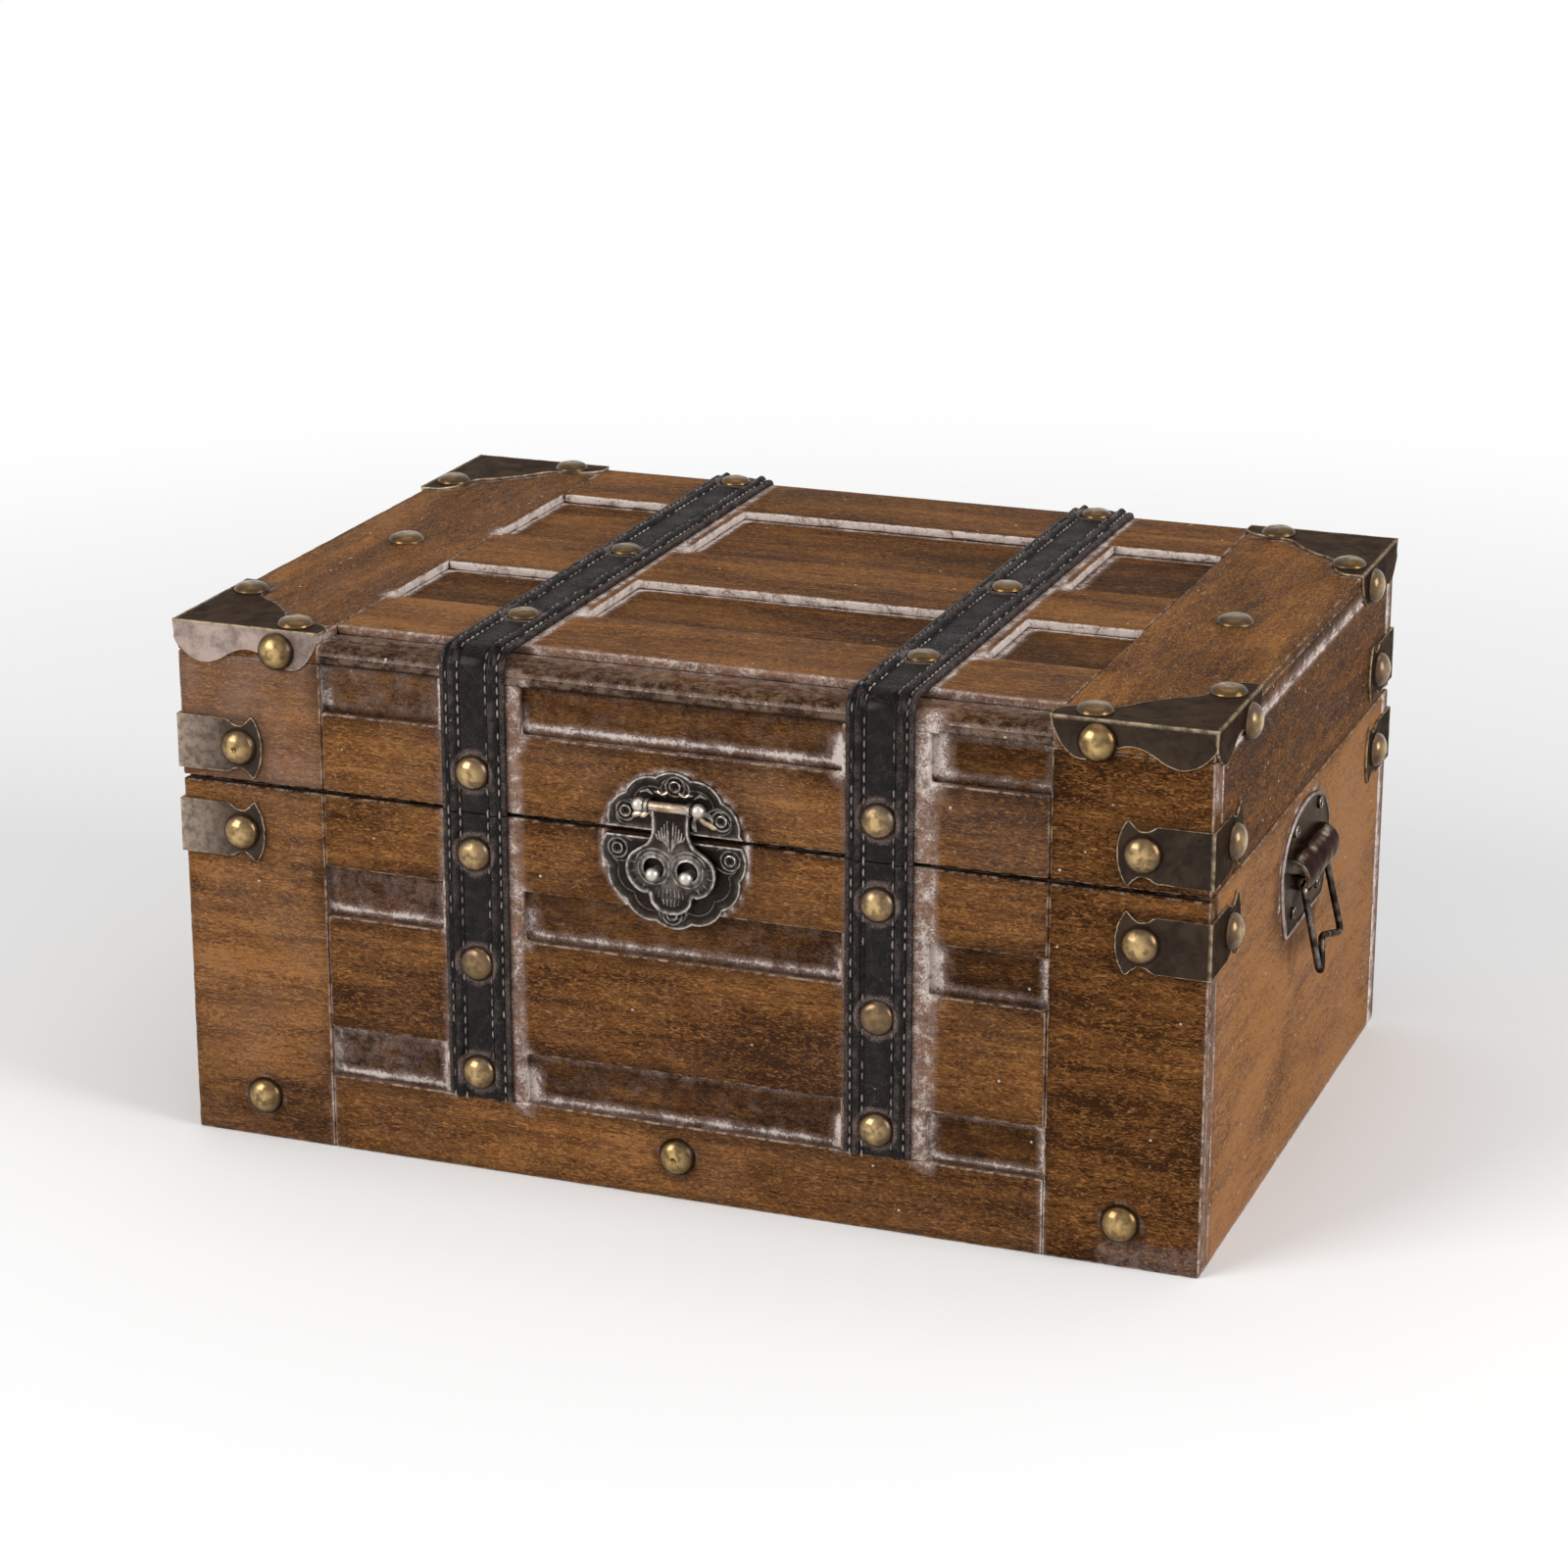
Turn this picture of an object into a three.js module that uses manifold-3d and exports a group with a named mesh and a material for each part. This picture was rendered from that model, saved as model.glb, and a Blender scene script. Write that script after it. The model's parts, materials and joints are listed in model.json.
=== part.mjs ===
// Wooden treasure chest: planked front and top, leather straps, stamped metal fittings.
// Millimetres, +Z up, front towards -Y, origin at the centre of the underside.
import * as THREE from 'three';
import { mergeVertices } from 'three/addons/utils/BufferGeometryUtils.js';
import Module from 'manifold-3d';

const wasm = await Module();
wasm.setup();

// Overall sizes of the box
const chestWidth = 324;
const chestDepth = 222;
const chestHeight = 165;
const lidHeight = 49;
const seamGap = 0.4;

// Boards
const sideThickness = 9;
const backThickness = 8;
const baseThickness = 6;
const boardThickness = 6;
const plankThickness = 3;
const stileWidth = 47.5;

// Rows of the body front as shares of its height, from the bottom up; the upper plank takes what is left
const bottomRailShare = 0.2076;
const lowerPocketShare = 0.1384;
const middlePlankShare = 0.3158;
const upperPocketShare = 0.1341;

// Rows of the lid front and of the top, from the front edge back; the rear plank takes what is left
const lidPlankShare = 0.51;
const edgeSlatDepth = 13;
const edgeSlatRadius = 4;
const topFrontPlankShare = 0.1649;
const topFrontPocketShare = 0.1928;
const topMiddlePlankShare = 0.1739;
const topRearPocketShare = 0.2405;

// Leather straps and the battens under them
const strapWidth = 21;
const strapOffsetShare = 0.3935;
const strapThickness = 1.7;
const strapRidgeThickness = 2.4;
const strapRidgeWidth = 4.5;
const strapBendRadius = 5;
const strapEndAboveRail = 0.5;
const battenLeftMargin = 1.5;
const battenRightMargin = 4.3;

// Domed nails
const studRadius = 5.3;
const studHeight = 3.6;
const studFacets = 12;
const lidStudDropShare = 0.745;
const bodyStudDropShare = 0.138;
const bodyStudPitchShare = 0.384;
const topStudInsetShare = 0.1667;
const topStudPitchShare = 0.3626;
const topRearStudInset = 8;
const freeStudInset = 24;
const freeStudHeight = 14;

// Corner fittings of pressed sheet
const sheetThickness = 0.9;
const bracketLeg = 48;
const bracketFlangeDepth = 12.3;
const bracketStudReach = 37;
const bracketStudInset = 6.5;
const flangeStudReach = 34;
const flangeStudDrop = 6;
const wrapHeight = 17;
const wrapFrontReach = 27.5;
const wrapSideReach = 31;
const wrapFlare = 2.2;
const wrapStudReach = 20;
const lidWrapRise = 3;
const bodyWrapDrop = 6.6;

// Latch: split round plate, hinge pin and hasp
const latchCentreDrop = 4.6;
const latchRadius = 23;
const latchLobes = 12;
const latchLobeShare = 0.05;
const latchPlateThickness = 1;
const latchParting = 3;
const latchPinRise = 10;
const latchPinOffset = 4.6;
const latchPinRadius = 1.1;
const latchBallRadius = 2.1;
const latchBallSpan = 18.7;
const pinClearance = 0.3;
const knuckleWall = 0.7;
const haspNeckWidth = 11.6;
const haspThickness = 1.2;
const haspDrop = 33.6;
const haspLobeDrop = 21.3;
const haspLobeWidth = 28.5;
const haspLobeRadius = 7.4;
const haspTipRadius = 7;
const haspNeckDrop = 8.5;
const haspEyeRadius = 3.4;
const haspEyeOffset = 5.4;
const latchEarWidth = 1.1;
const latchPostRadius = 1.6;
const latchUpperScrews = [30, 90, 150].map(THREE.MathUtils.degToRad);
const latchLowerScrews = [0, 180, 270].map(THREE.MathUtils.degToRad);

// Side handles: plate with an arched top, pressed hood and wire bail
const handleCentreHeight = 93;
const handlePlateWidth = 60;
const handlePlateHeight = 39;
const handlePlateThickness = 1;
const bailAxisDrop = 4.5;
const bailAxisOffset = 3.6;
const bailWireRadius = 1.1;
const bailSpan = 28.6;
const bailDrop = 28.5;
const bailFlare = 0.7;
const bailKink = 7.5;
const bailTopRadius = 2;
const bailCornerRadius = 3.5;
const bailStubLength = 6;
const bailTilt = THREE.MathUtils.degToRad(13);
const hoodLength = 40;
const hoodAxisOffset = 0.6;
const hoodAxisDrop = 0.5;
const hoodOuterRadius = 6.6;
const hoodWall = 1.2;
const hoodTopAngle = THREE.MathUtils.degToRad(94);
const hoodLipAngle = THREE.MathUtils.degToRad(-25);
const lugWidth = 3;
const lugRadius = 2.3;
const plateTopRiseShare = 0.46;
const plateFootWidthShare = 0.78;
const plateScrewRiseShare = 1 / 3;
const plateScrewReachShare = 1 / 4;

// Butt hinges at the back
const hingeWidthShare = 0.63;
const hingeLeafHeight = 18;
const hingeLeafThickness = 1.2;
const hingeKnuckleRadius = 2.5;
const hingePinRadius = 1.1;
const hingeMiddleShare = 0.4;
const hingeScrewShare = 1 / 3;

// Small screws
const screwRadius = 1.9;
const screwHeight = 0.9;
const screwFacets = 8;

// Round shapes and cuts
const roundFacets = 16;
const arcSteps = 4;
const overrun = 2;
const runClearance = 0.3;
const domeSteps = 3;
const bailSteps = 40;
const haspFacets = 24;
const weldDistance = 0.0001;

// Places worked out from the sizes above
const halfWidth = chestWidth / 2;
const halfDepth = chestDepth / 2;
const lidBottom = chestHeight - lidHeight;
const bodyTop = lidBottom - seamGap;
const frontThickness = boardThickness + plankThickness;
const frontFace = -halfDepth;
const backFace = halfDepth;
const frontBacking = frontFace + plankThickness;
const frontInside = frontFace + frontThickness;
const backInside = backFace - backThickness;
const sideInside = halfWidth - sideThickness;
const panelHalf = halfWidth - stileWidth;
const topPanelBottom = chestHeight - frontThickness;
const topPanelTop = chestHeight - plankThickness;
const strapOffset = halfWidth * strapOffsetShare;
const strapCentres = { left: -strapOffset, right: strapOffset };
const seamLevel = (bodyTop + lidBottom) / 2;
const bottomRailHeight = bodyTop * bottomRailShare;

const materials = {
  wood: new THREE.MeshStandardMaterial({ color: 0x7a4a22, roughness: 0.55, metalness: 0 }),
  darkWood: new THREE.MeshStandardMaterial({ color: 0x4a2c18, roughness: 0.6, metalness: 0 }),
  leather: new THREE.MeshStandardMaterial({ color: 0x1b1a1c, roughness: 0.5, metalness: 0 }),
  brass: new THREE.MeshStandardMaterial({ color: 0x9a7b45, roughness: 0.3, metalness: 1 }),
  bronze: new THREE.MeshStandardMaterial({ color: 0x54452f, roughness: 0.4, metalness: 0.9 }),
  pewter: new THREE.MeshStandardMaterial({ color: 0x55504c, roughness: 0.35, metalness: 0.9 }),
};

// Closed meshes become solids, and solids become meshes again
function solid(geometry) {
  const bare = geometry.index ? geometry.toNonIndexed() : geometry.clone();
  bare.deleteAttribute('normal');
  bare.deleteAttribute('uv');
  const merged = mergeVertices(bare, weldDistance);
  return new wasm.Manifold(new wasm.Mesh({
    numProp: 3,
    vertProperties: new Float32Array(merged.attributes.position.array),
    triVerts: new Uint32Array(merged.index.array),
  }));
}

function joined(solids) {
  return solids.reduce((whole, piece) => whole.add(piece));
}

// A mirrored copy keeps its faces outward by turning each triangle round
function toGeometry(shape, signX = 1, signY = 1) {
  const mesh = shape.getMesh();
  const position = new Float32Array(mesh.numVert * 3);
  for (let i = 0; i < mesh.numVert; i += 1) {
    position[3 * i] = signX * mesh.vertProperties[mesh.numProp * i];
    position[3 * i + 1] = signY * mesh.vertProperties[mesh.numProp * i + 1];
    position[3 * i + 2] = mesh.vertProperties[mesh.numProp * i + 2];
  }
  const index = Array.from(mesh.triVerts);
  if (signX * signY < 0) {
    for (let i = 0; i < index.length; i += 3) {
      [index[i + 1], index[i + 2]] = [index[i + 2], index[i + 1]];
    }
  }
  const geometry = new THREE.BufferGeometry();
  geometry.setAttribute('position', new THREE.BufferAttribute(position, 3));
  geometry.setIndex(index);
  geometry.computeVertexNormals();
  return geometry;
}

const chest = new THREE.Group();
const lid = new THREE.Group();
chest.add(lid);

function addPiece(parent, name, shape, material, signX = 1, signY = 1) {
  const mesh = new THREE.Mesh(toGeometry(shape, signX, signY), material.clone());
  mesh.name = name;
  parent.add(mesh);
}

// Basic shapes, each placed by its lowest and highest corners or by its outline
function block([x0, x1], [y0, y1], [z0, z1]) {
  const geometry = new THREE.BoxGeometry(x1 - x0, y1 - y0, z1 - z0);
  geometry.translate((x0 + x1) / 2, (y0 + y1) / 2, (z0 + z1) / 2);
  return solid(geometry);
}

const X = new THREE.Vector3(1, 0, 0);
const Y = new THREE.Vector3(0, 1, 0);
const Z = new THREE.Vector3(0, 0, 1);

function extruded(shape, depth, basis, place) {
  const geometry = new THREE.ExtrudeGeometry(shape, { depth, bevelEnabled: false, curveSegments: arcSteps });
  geometry.applyMatrix4(new THREE.Matrix4().makeBasis(...basis).setPosition(place));
  return solid(geometry);
}

// Outline in Y and Z, run along X
function alongX(shape, x0, x1) {
  return extruded(shape, x1 - x0, [Y, Z, X], new THREE.Vector3(x0, 0, 0));
}

// Outline in X and Z, run along Y
function alongY(shape, y0, y1) {
  return extruded(shape, y1 - y0, [X, Z, Y.clone().negate()], new THREE.Vector3(0, y1, 0));
}

// Outline in X and Y, run along Z
function alongZ(shape, z0, z1) {
  return extruded(shape, z1 - z0, [X, Y, Z], new THREE.Vector3(0, 0, z0));
}

function outline(points) {
  return new THREE.Shape(points.map(([a, b]) => new THREE.Vector2(a, b)));
}

// A turned shape: profile of [radius, height] about an axis through a place
function turned(profile, facets, place, direction) {
  const points = profile.map(([r, h]) => new THREE.Vector2(r, h));
  const geometry = new THREE.LatheGeometry(points, facets);
  geometry.applyQuaternion(new THREE.Quaternion().setFromUnitVectors(Y, direction));
  geometry.translate(place.x, place.y, place.z);
  return solid(geometry);
}

function rod(radius, start, direction, length, facets = roundFacets) {
  return turned([[0, 0], [radius, 0], [radius, length], [0, length]], facets, start, direction);
}

function ball(radius, centre) {
  const profile = [];
  for (let i = 0; i <= 2 * arcSteps; i += 1) {
    const angle = Math.PI * (i / (2 * arcSteps) - 1 / 2);
    const onAxis = i === 0 || i === 2 * arcSteps;
    profile.push([onAxis ? 0 : radius * Math.cos(angle), radius * Math.sin(angle)]);
  }
  return turned(profile, studFacets, centre, X);
}

// A shallow dome that stands on a face, as nails and screws have
function dome(radius, height, facets, place, direction) {
  const profile = [[0, 0], [radius, 0]];
  for (let i = 1; i < domeSteps; i += 1) {
    const angle = (Math.PI / 2) * (i / domeSteps);
    profile.push([radius * Math.cos(angle), height * Math.sin(angle)]);
  }
  profile.push([0, height]);
  return turned(profile, facets, place, direction);
}

const facing = {
  front: Y.clone().negate(),
  back: Y.clone(),
  right: X.clone(),
  top: Z.clone(),
};

function stud(x, y, z, direction) {
  return dome(studRadius, studHeight, studFacets, new THREE.Vector3(x, y, z), direction);
}

function screw(x, y, z, direction) {
  return dome(screwRadius, screwHeight, screwFacets, new THREE.Vector3(x, y, z), direction);
}

// Battens under the straps run in from both sides of a plank
function battenEdges(centre) {
  return [centre - strapWidth / 2 - battenLeftMargin, centre + strapWidth / 2 + battenRightMargin];
}

// Body of the box
function makeBodyBoards() {
  const { wood, darkWood } = materials;
  const inside = [-sideInside, sideInside];
  addPiece(chest, 'base_board',
    block(inside, [frontInside, backInside], [0, baseThickness]), darkWood);
  for (const [side, sign] of [['left', -1], ['right', 1]]) {
    addPiece(chest, `body_side_${side}`,
      block([sideInside, halfWidth], [frontInside, backInside], [0, bodyTop]), wood, sign);
  }
  addPiece(chest, 'body_back_board',
    block([-halfWidth, halfWidth], [backInside, backFace], [0, bodyTop]), wood);
  addPiece(chest, 'body_front_board',
    block([-halfWidth, halfWidth], [frontBacking, frontInside], [0, bodyTop]), darkWood);
  for (const [side, sign] of [['left', -1], ['right', 1]]) {
    addPiece(chest, `body_front_stile_${side}`,
      block([panelHalf, halfWidth], [frontFace, frontBacking], [0, bodyTop]), wood, sign);
  }
}

function makeBodyPlanks() {
  const { wood } = materials;
  const across = [-panelHalf, panelHalf];
  const proud = [frontFace, frontBacking];
  const middleBottom = bottomRailHeight + bodyTop * lowerPocketShare;
  const middleTop = middleBottom + bodyTop * middlePlankShare;
  const upperBottom = middleTop + bodyTop * upperPocketShare;
  addPiece(chest, 'body_bottom_rail', block(across, proud, [0, bottomRailHeight]), wood);
  const battens = Object.values(strapCentres).map(
    (centre) => block(battenEdges(centre), proud, [bottomRailHeight, upperBottom]));
  addPiece(chest, 'body_middle_plank',
    joined([block(across, proud, [middleBottom, middleTop]), ...battens]), wood);
  addPiece(chest, 'body_upper_plank', block(across, proud, [upperBottom, bodyTop]), wood);
}

// Lid: a shallow box whose top panel covers its walls
function makeLidBoards() {
  const { wood, darkWood } = materials;
  const slatBack = frontFace + edgeSlatDepth;
  const across = [-panelHalf, panelHalf];
  const whole = block([-halfWidth, halfWidth], [frontFace, backFace], [topPanelBottom, topPanelTop]);
  const notch = block(across, [frontFace - overrun, slatBack],
    [topPanelBottom - overrun, topPanelTop + overrun]);
  addPiece(lid, 'lid_top_board', whole.subtract(notch), darkWood);

  const slat = new THREE.Shape();
  slat.moveTo(frontFace, topPanelBottom);
  slat.lineTo(slatBack, topPanelBottom);
  slat.lineTo(slatBack, topPanelTop);
  slat.lineTo(frontFace + edgeSlatRadius, topPanelTop);
  slat.absarc(frontFace + edgeSlatRadius, topPanelTop - edgeSlatRadius, edgeSlatRadius,
    Math.PI / 2, Math.PI, false);
  addPiece(lid, 'lid_edge_slat', alongX(slat, -panelHalf, panelHalf), wood);

  const walls = [lidBottom, topPanelBottom];
  addPiece(lid, 'lid_front_board',
    block([-halfWidth, halfWidth], [frontBacking, frontInside], walls), darkWood);
  addPiece(lid, 'lid_back_board',
    block([-halfWidth, halfWidth], [backInside, backFace], walls), wood);
  for (const [side, sign] of [['left', -1], ['right', 1]]) {
    addPiece(lid, `lid_side_${side}`,
      block([sideInside, halfWidth], [frontInside, backInside], walls), wood, sign);
    addPiece(lid, `lid_front_stile_${side}`,
      block([panelHalf, halfWidth], [frontFace, frontBacking], walls), wood, sign);
    addPiece(lid, `lid_end_board_${side}`,
      block([panelHalf, halfWidth], [frontFace, backFace], [topPanelTop, chestHeight]), wood, sign);
  }
}

function makeLidPlanks() {
  const { wood } = materials;
  const across = [-panelHalf, panelHalf];
  const proud = [frontFace, frontBacking];
  const lidPlankTop = lidBottom + lidHeight * lidPlankShare;
  const uprights = Object.values(strapCentres).map(
    (centre) => block(battenEdges(centre), proud, [lidPlankTop, topPanelBottom]));
  addPiece(lid, 'lid_front_plank',
    joined([block(across, proud, [lidBottom, lidPlankTop]), ...uprights]), wood);

  const raised = [topPanelTop, chestHeight];
  const frontStart = frontFace + edgeSlatDepth;
  const frontEnd = frontStart + chestDepth * topFrontPlankShare;
  const middleStart = frontEnd + chestDepth * topFrontPocketShare;
  const middleEnd = middleStart + chestDepth * topMiddlePlankShare;
  const rearStart = middleEnd + chestDepth * topRearPocketShare;
  addPiece(lid, 'top_plank_front', block(across, [frontStart, frontEnd], raised), wood);
  const battens = Object.values(strapCentres).map(
    (centre) => block(battenEdges(centre), [frontEnd, rearStart], raised));
  addPiece(lid, 'top_plank_middle',
    joined([block(across, [middleStart, middleEnd], raised), ...battens]), wood);
  addPiece(lid, 'top_plank_rear', block(across, [rearStart, backFace], raised), wood);
}

// Straps: a thin band with a thicker padded ridge along each edge
function strapBands(centre, band) {
  const half = strapWidth / 2;
  const inner = half - strapRidgeWidth;
  return joined([
    band(centre - inner, centre + inner, strapThickness),
    band(centre - half, centre - inner, strapRidgeThickness),
    band(centre + inner, centre + half, strapRidgeThickness),
  ]);
}

function lidStrapOutline(thickness) {
  const shape = new THREE.Shape();
  const bendY = frontFace + strapBendRadius;
  const bendZ = chestHeight - strapBendRadius;
  shape.moveTo(frontFace, lidBottom);
  shape.lineTo(frontFace, bendZ);
  shape.absarc(bendY, bendZ, strapBendRadius, Math.PI, Math.PI / 2, true);
  shape.lineTo(backFace, chestHeight);
  shape.lineTo(backFace, lidBottom);
  shape.lineTo(backFace + thickness, lidBottom);
  shape.lineTo(backFace + thickness, chestHeight);
  shape.absarc(backFace, chestHeight, thickness, 0, Math.PI / 2, false);
  shape.lineTo(bendY, chestHeight + thickness);
  shape.absarc(bendY, bendZ, strapBendRadius + thickness, Math.PI / 2, Math.PI, false);
  shape.lineTo(frontFace - thickness, lidBottom);
  return shape;
}

function makeStraps() {
  const { leather } = materials;
  const strapBottom = bottomRailHeight + strapEndAboveRail;
  const front = frontFace - strapThickness;
  const back = backFace + strapThickness;
  const top = chestHeight + strapThickness;
  const firstTopStud = frontFace + chestDepth * topStudInsetShare;
  const topStuds = [firstTopStud, firstTopStud + chestDepth * topStudPitchShare, backFace - topRearStudInset];
  const bodyLength = bodyTop - strapBottom;
  const bodyStuds = [0, 1, 2].map(
    (i) => bodyTop - bodyLength * (bodyStudDropShare + i * bodyStudPitchShare));
  const lidStudHeight = chestHeight - lidHeight * lidStudDropShare;
  for (const [side, centre] of Object.entries(strapCentres)) {
    const lidBand = strapBands(centre, (x0, x1, t) => alongX(lidStrapOutline(t), x0, x1));
    addPiece(lid, `lid_strap_${side}`, joined([
      lidBand,
      stud(centre, front, lidStudHeight, facing.front),
      stud(centre, back, lidStudHeight, facing.back),
      ...topStuds.map((y) => stud(centre, y, top, facing.top)),
    ]), leather);

    const frontBand = strapBands(centre,
      (x0, x1, t) => block([x0, x1], [frontFace - t, frontFace], [strapBottom, bodyTop]));
    addPiece(chest, `body_strap_front_${side}`,
      joined([frontBand, ...bodyStuds.map((z) => stud(centre, front, z, facing.front))]), leather);

    const backBand = strapBands(centre,
      (x0, x1, t) => block([x0, x1], [backFace, backFace + t], [strapBottom, bodyTop]));
    addPiece(chest, `body_strap_back_${side}`,
      joined([backBand, ...bodyStuds.map((z) => stud(centre, back, z, facing.back))]), leather);
  }
}

// Outlines of the pressed corners, as shares of their reach and depth
const bracketTopShares = [[1, 0], [1, 0.12], [0.93, 0.2], [0.8, 0.24], [0.66, 0.28], [0.56, 0.42],
  [0.42, 0.56], [0.28, 0.66], [0.24, 0.8], [0.2, 0.93], [0.12, 1], [0, 1]];
const bracketFlangeShares = [[1, 0], [0.98, 0.3], [0.92, 0.72], [0.84, 0.96], [0.74, 0.94], [0.63, 0.7],
  [0.52, 0.58], [0.42, 0.66], [0.3, 0.92], [0.2, 1], [0.1, 0.86], [0.03, 0.6], [0, 0.42]];

// All corner pieces are drawn at the front right corner and mirrored to the others
function cornerBracket() {
  const over = sheetThickness;
  const edgeX = halfWidth + over;
  const edgeY = frontFace - over;
  const edgeZ = chestHeight + over;
  const reach = bracketLeg + over;
  const drop = bracketFlangeDepth + over;
  const top = outline([[edgeX, edgeY],
    ...bracketTopShares.map(([a, b]) => [edgeX - a * reach, edgeY + b * reach])].reverse());
  const front = outline([[edgeX, edgeZ],
    ...bracketFlangeShares.map(([a, b]) => [edgeX - a * reach, edgeZ - b * drop])]);
  const side = outline([[edgeY, edgeZ],
    ...bracketFlangeShares.map(([a, b]) => [edgeY + a * reach, edgeZ - b * drop])].reverse());
  return joined([
    alongZ(top, chestHeight, edgeZ),
    alongY(front, edgeY, frontFace),
    alongX(side, halfWidth, edgeX),
    stud(halfWidth - bracketStudReach, frontFace + bracketStudInset, edgeZ, facing.top),
    stud(halfWidth - bracketStudInset, frontFace + bracketStudReach, edgeZ, facing.top),
    stud(halfWidth - flangeStudReach, edgeY, chestHeight - flangeStudDrop, facing.front),
    stud(edgeX, frontFace + flangeStudReach, chestHeight - flangeStudDrop, facing.right),
  ]);
}

// Fishtail end of a corner wrap, drawn from the corner outwards
const wrapOutlineShares = [[0, 1], [0.66, 1], [0.74, 0.8]];
const wrapTipShare = 0.93;
const wrapNotchShare = 0.86;

function wrapPoints(reach) {
  const half = wrapHeight / 2;
  const upper = wrapOutlineShares.map(([a, b]) => [a * reach, b * half]);
  upper.push([wrapTipShare * reach, half + wrapFlare]);
  upper.push([reach, half]);
  upper.push([reach, half * wrapNotchShare]);
  return [...upper, ...upper.map(([a, b]) => [a, -b]).reverse()];
}

function cornerWrap(centreZ) {
  const over = sheetThickness;
  const edgeX = halfWidth + over;
  const edgeY = frontFace - over;
  const front = outline(wrapPoints(wrapFrontReach + over).map(([a, b]) => [edgeX - a, centreZ + b]));
  const side = outline(wrapPoints(wrapSideReach + over).map(([a, b]) => [edgeY + a, centreZ + b]));
  return joined([
    alongY(front, edgeY, frontFace),
    alongX(side, halfWidth, edgeX),
    stud(halfWidth - wrapStudReach, edgeY, centreZ, facing.front),
    stud(edgeX, frontFace + wrapStudReach, centreZ, facing.right),
  ]);
}

function makeCorners() {
  const { bronze } = materials;
  const bracket = cornerBracket();
  const lidWrap = cornerWrap(lidBottom + lidWrapRise + wrapHeight / 2);
  const bodyWrap = cornerWrap(bodyTop - bodyWrapDrop - wrapHeight / 2);
  for (const [end, signY] of [['front', 1], ['rear', -1]]) {
    for (const [side, signX] of [['left', -1], ['right', 1]]) {
      addPiece(lid, `lid_corner_bracket_${end}_${side}`, bracket, bronze, signX, signY);
      addPiece(lid, `lid_corner_wrap_${end}_${side}`, lidWrap, bronze, signX, signY);
      addPiece(chest, `body_corner_wrap_${end}_${side}`, bodyWrap, bronze, signX, signY);
    }
  }
}

// Nails that hold a board and nothing over it
function makeFreeStuds() {
  const { brass } = materials;
  const along = halfWidth - freeStudInset;
  for (const [side, x] of [['left', -along], ['centre', 0], ['right', along]]) {
    addPiece(chest, `front_stud_${side}`, stud(x, frontFace, freeStudHeight, facing.front), brass);
  }
  for (const [side, x] of [['left', -along], ['right', along]]) {
    addPiece(lid, `top_stud_${side}`, stud(x, 0, chestHeight, facing.top), brass);
  }
}

// Latch plates: one scalloped disc, parted along the seam
const latchCentreHeight = seamLevel - latchCentreDrop;
const latchPinHeight = seamLevel + latchPinRise;

function latchDisc(centreZ) {
  const points = [];
  const steps = latchLobes * arcSteps;
  for (let i = 0; i < steps; i += 1) {
    const angle = (2 * Math.PI * i) / steps;
    const lobe = Math.abs(Math.cos((latchLobes * angle) / 2));
    const radius = latchRadius * (1 - latchLobeShare + latchLobeShare * lobe);
    points.push([radius * Math.cos(angle), centreZ + radius * Math.sin(angle)]);
  }
  return alongY(outline(points), frontFace - latchPlateThickness, frontFace);
}

const latchPinY = frontFace - latchPinOffset;
const haspBack = latchPinY + latchPinRadius + pinClearance + knuckleWall;
const haspFront = haspBack - haspThickness;

function latchEar(sign) {
  const inner = haspNeckWidth / 2 + runClearance;
  const bore = latchPinRadius + pinClearance;
  const reach = bore + knuckleWall;
  const shape = new THREE.Shape();
  shape.moveTo(frontFace - latchPlateThickness / 2, latchPinHeight - reach);
  shape.lineTo(frontFace - latchPlateThickness / 2, latchPinHeight + reach);
  shape.lineTo(latchPinY, latchPinHeight + reach);
  shape.absarc(latchPinY, latchPinHeight, reach, Math.PI / 2, (3 * Math.PI) / 2, false);
  const low = sign > 0 ? inner : -inner - latchEarWidth;
  const start = new THREE.Vector3(low - overrun, latchPinY, latchPinHeight);
  return alongX(shape, low, low + latchEarWidth)
    .subtract(rod(bore, start, X, latchEarWidth + 2 * overrun));
}

function latchScrews(centreZ, angles) {
  const reach = latchRadius - 2 * screwRadius;
  const face = frontFace - latchPlateThickness;
  return angles.map((angle) => screw(reach * Math.cos(angle),
    face, centreZ + reach * Math.sin(angle), facing.front));
}

// Hasp blade: a neck that flares into two side lobes, with a round tip below them
function haspBlade() {
  const neck = haspNeckWidth / 2;
  const lobeX = haspLobeWidth / 2 - haspLobeRadius;
  const lobeZ = latchPinHeight - haspLobeDrop;
  const flareZ = latchPinHeight - haspNeckDrop;
  const shape = new THREE.Shape();
  shape.moveTo(-neck, latchPinHeight);
  shape.lineTo(-neck, flareZ);
  shape.quadraticCurveTo(-neck, lobeZ + haspLobeRadius, -lobeX, lobeZ + haspLobeRadius);
  shape.lineTo(-lobeX, lobeZ);
  shape.lineTo(lobeX, lobeZ);
  shape.lineTo(lobeX, lobeZ + haspLobeRadius);
  shape.quadraticCurveTo(neck, lobeZ + haspLobeRadius, neck, flareZ);
  shape.lineTo(neck, latchPinHeight);
  const disc = (radius, x, z) => rod(
    radius, new THREE.Vector3(x, haspFront, z), Y, haspThickness, haspFacets);
  return joined([
    alongY(shape, haspFront, haspBack),
    disc(haspLobeRadius, -lobeX, lobeZ),
    disc(haspLobeRadius, lobeX, lobeZ),
    disc(haspTipRadius, 0, latchPinHeight - haspDrop + haspTipRadius),
  ]);
}

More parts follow.
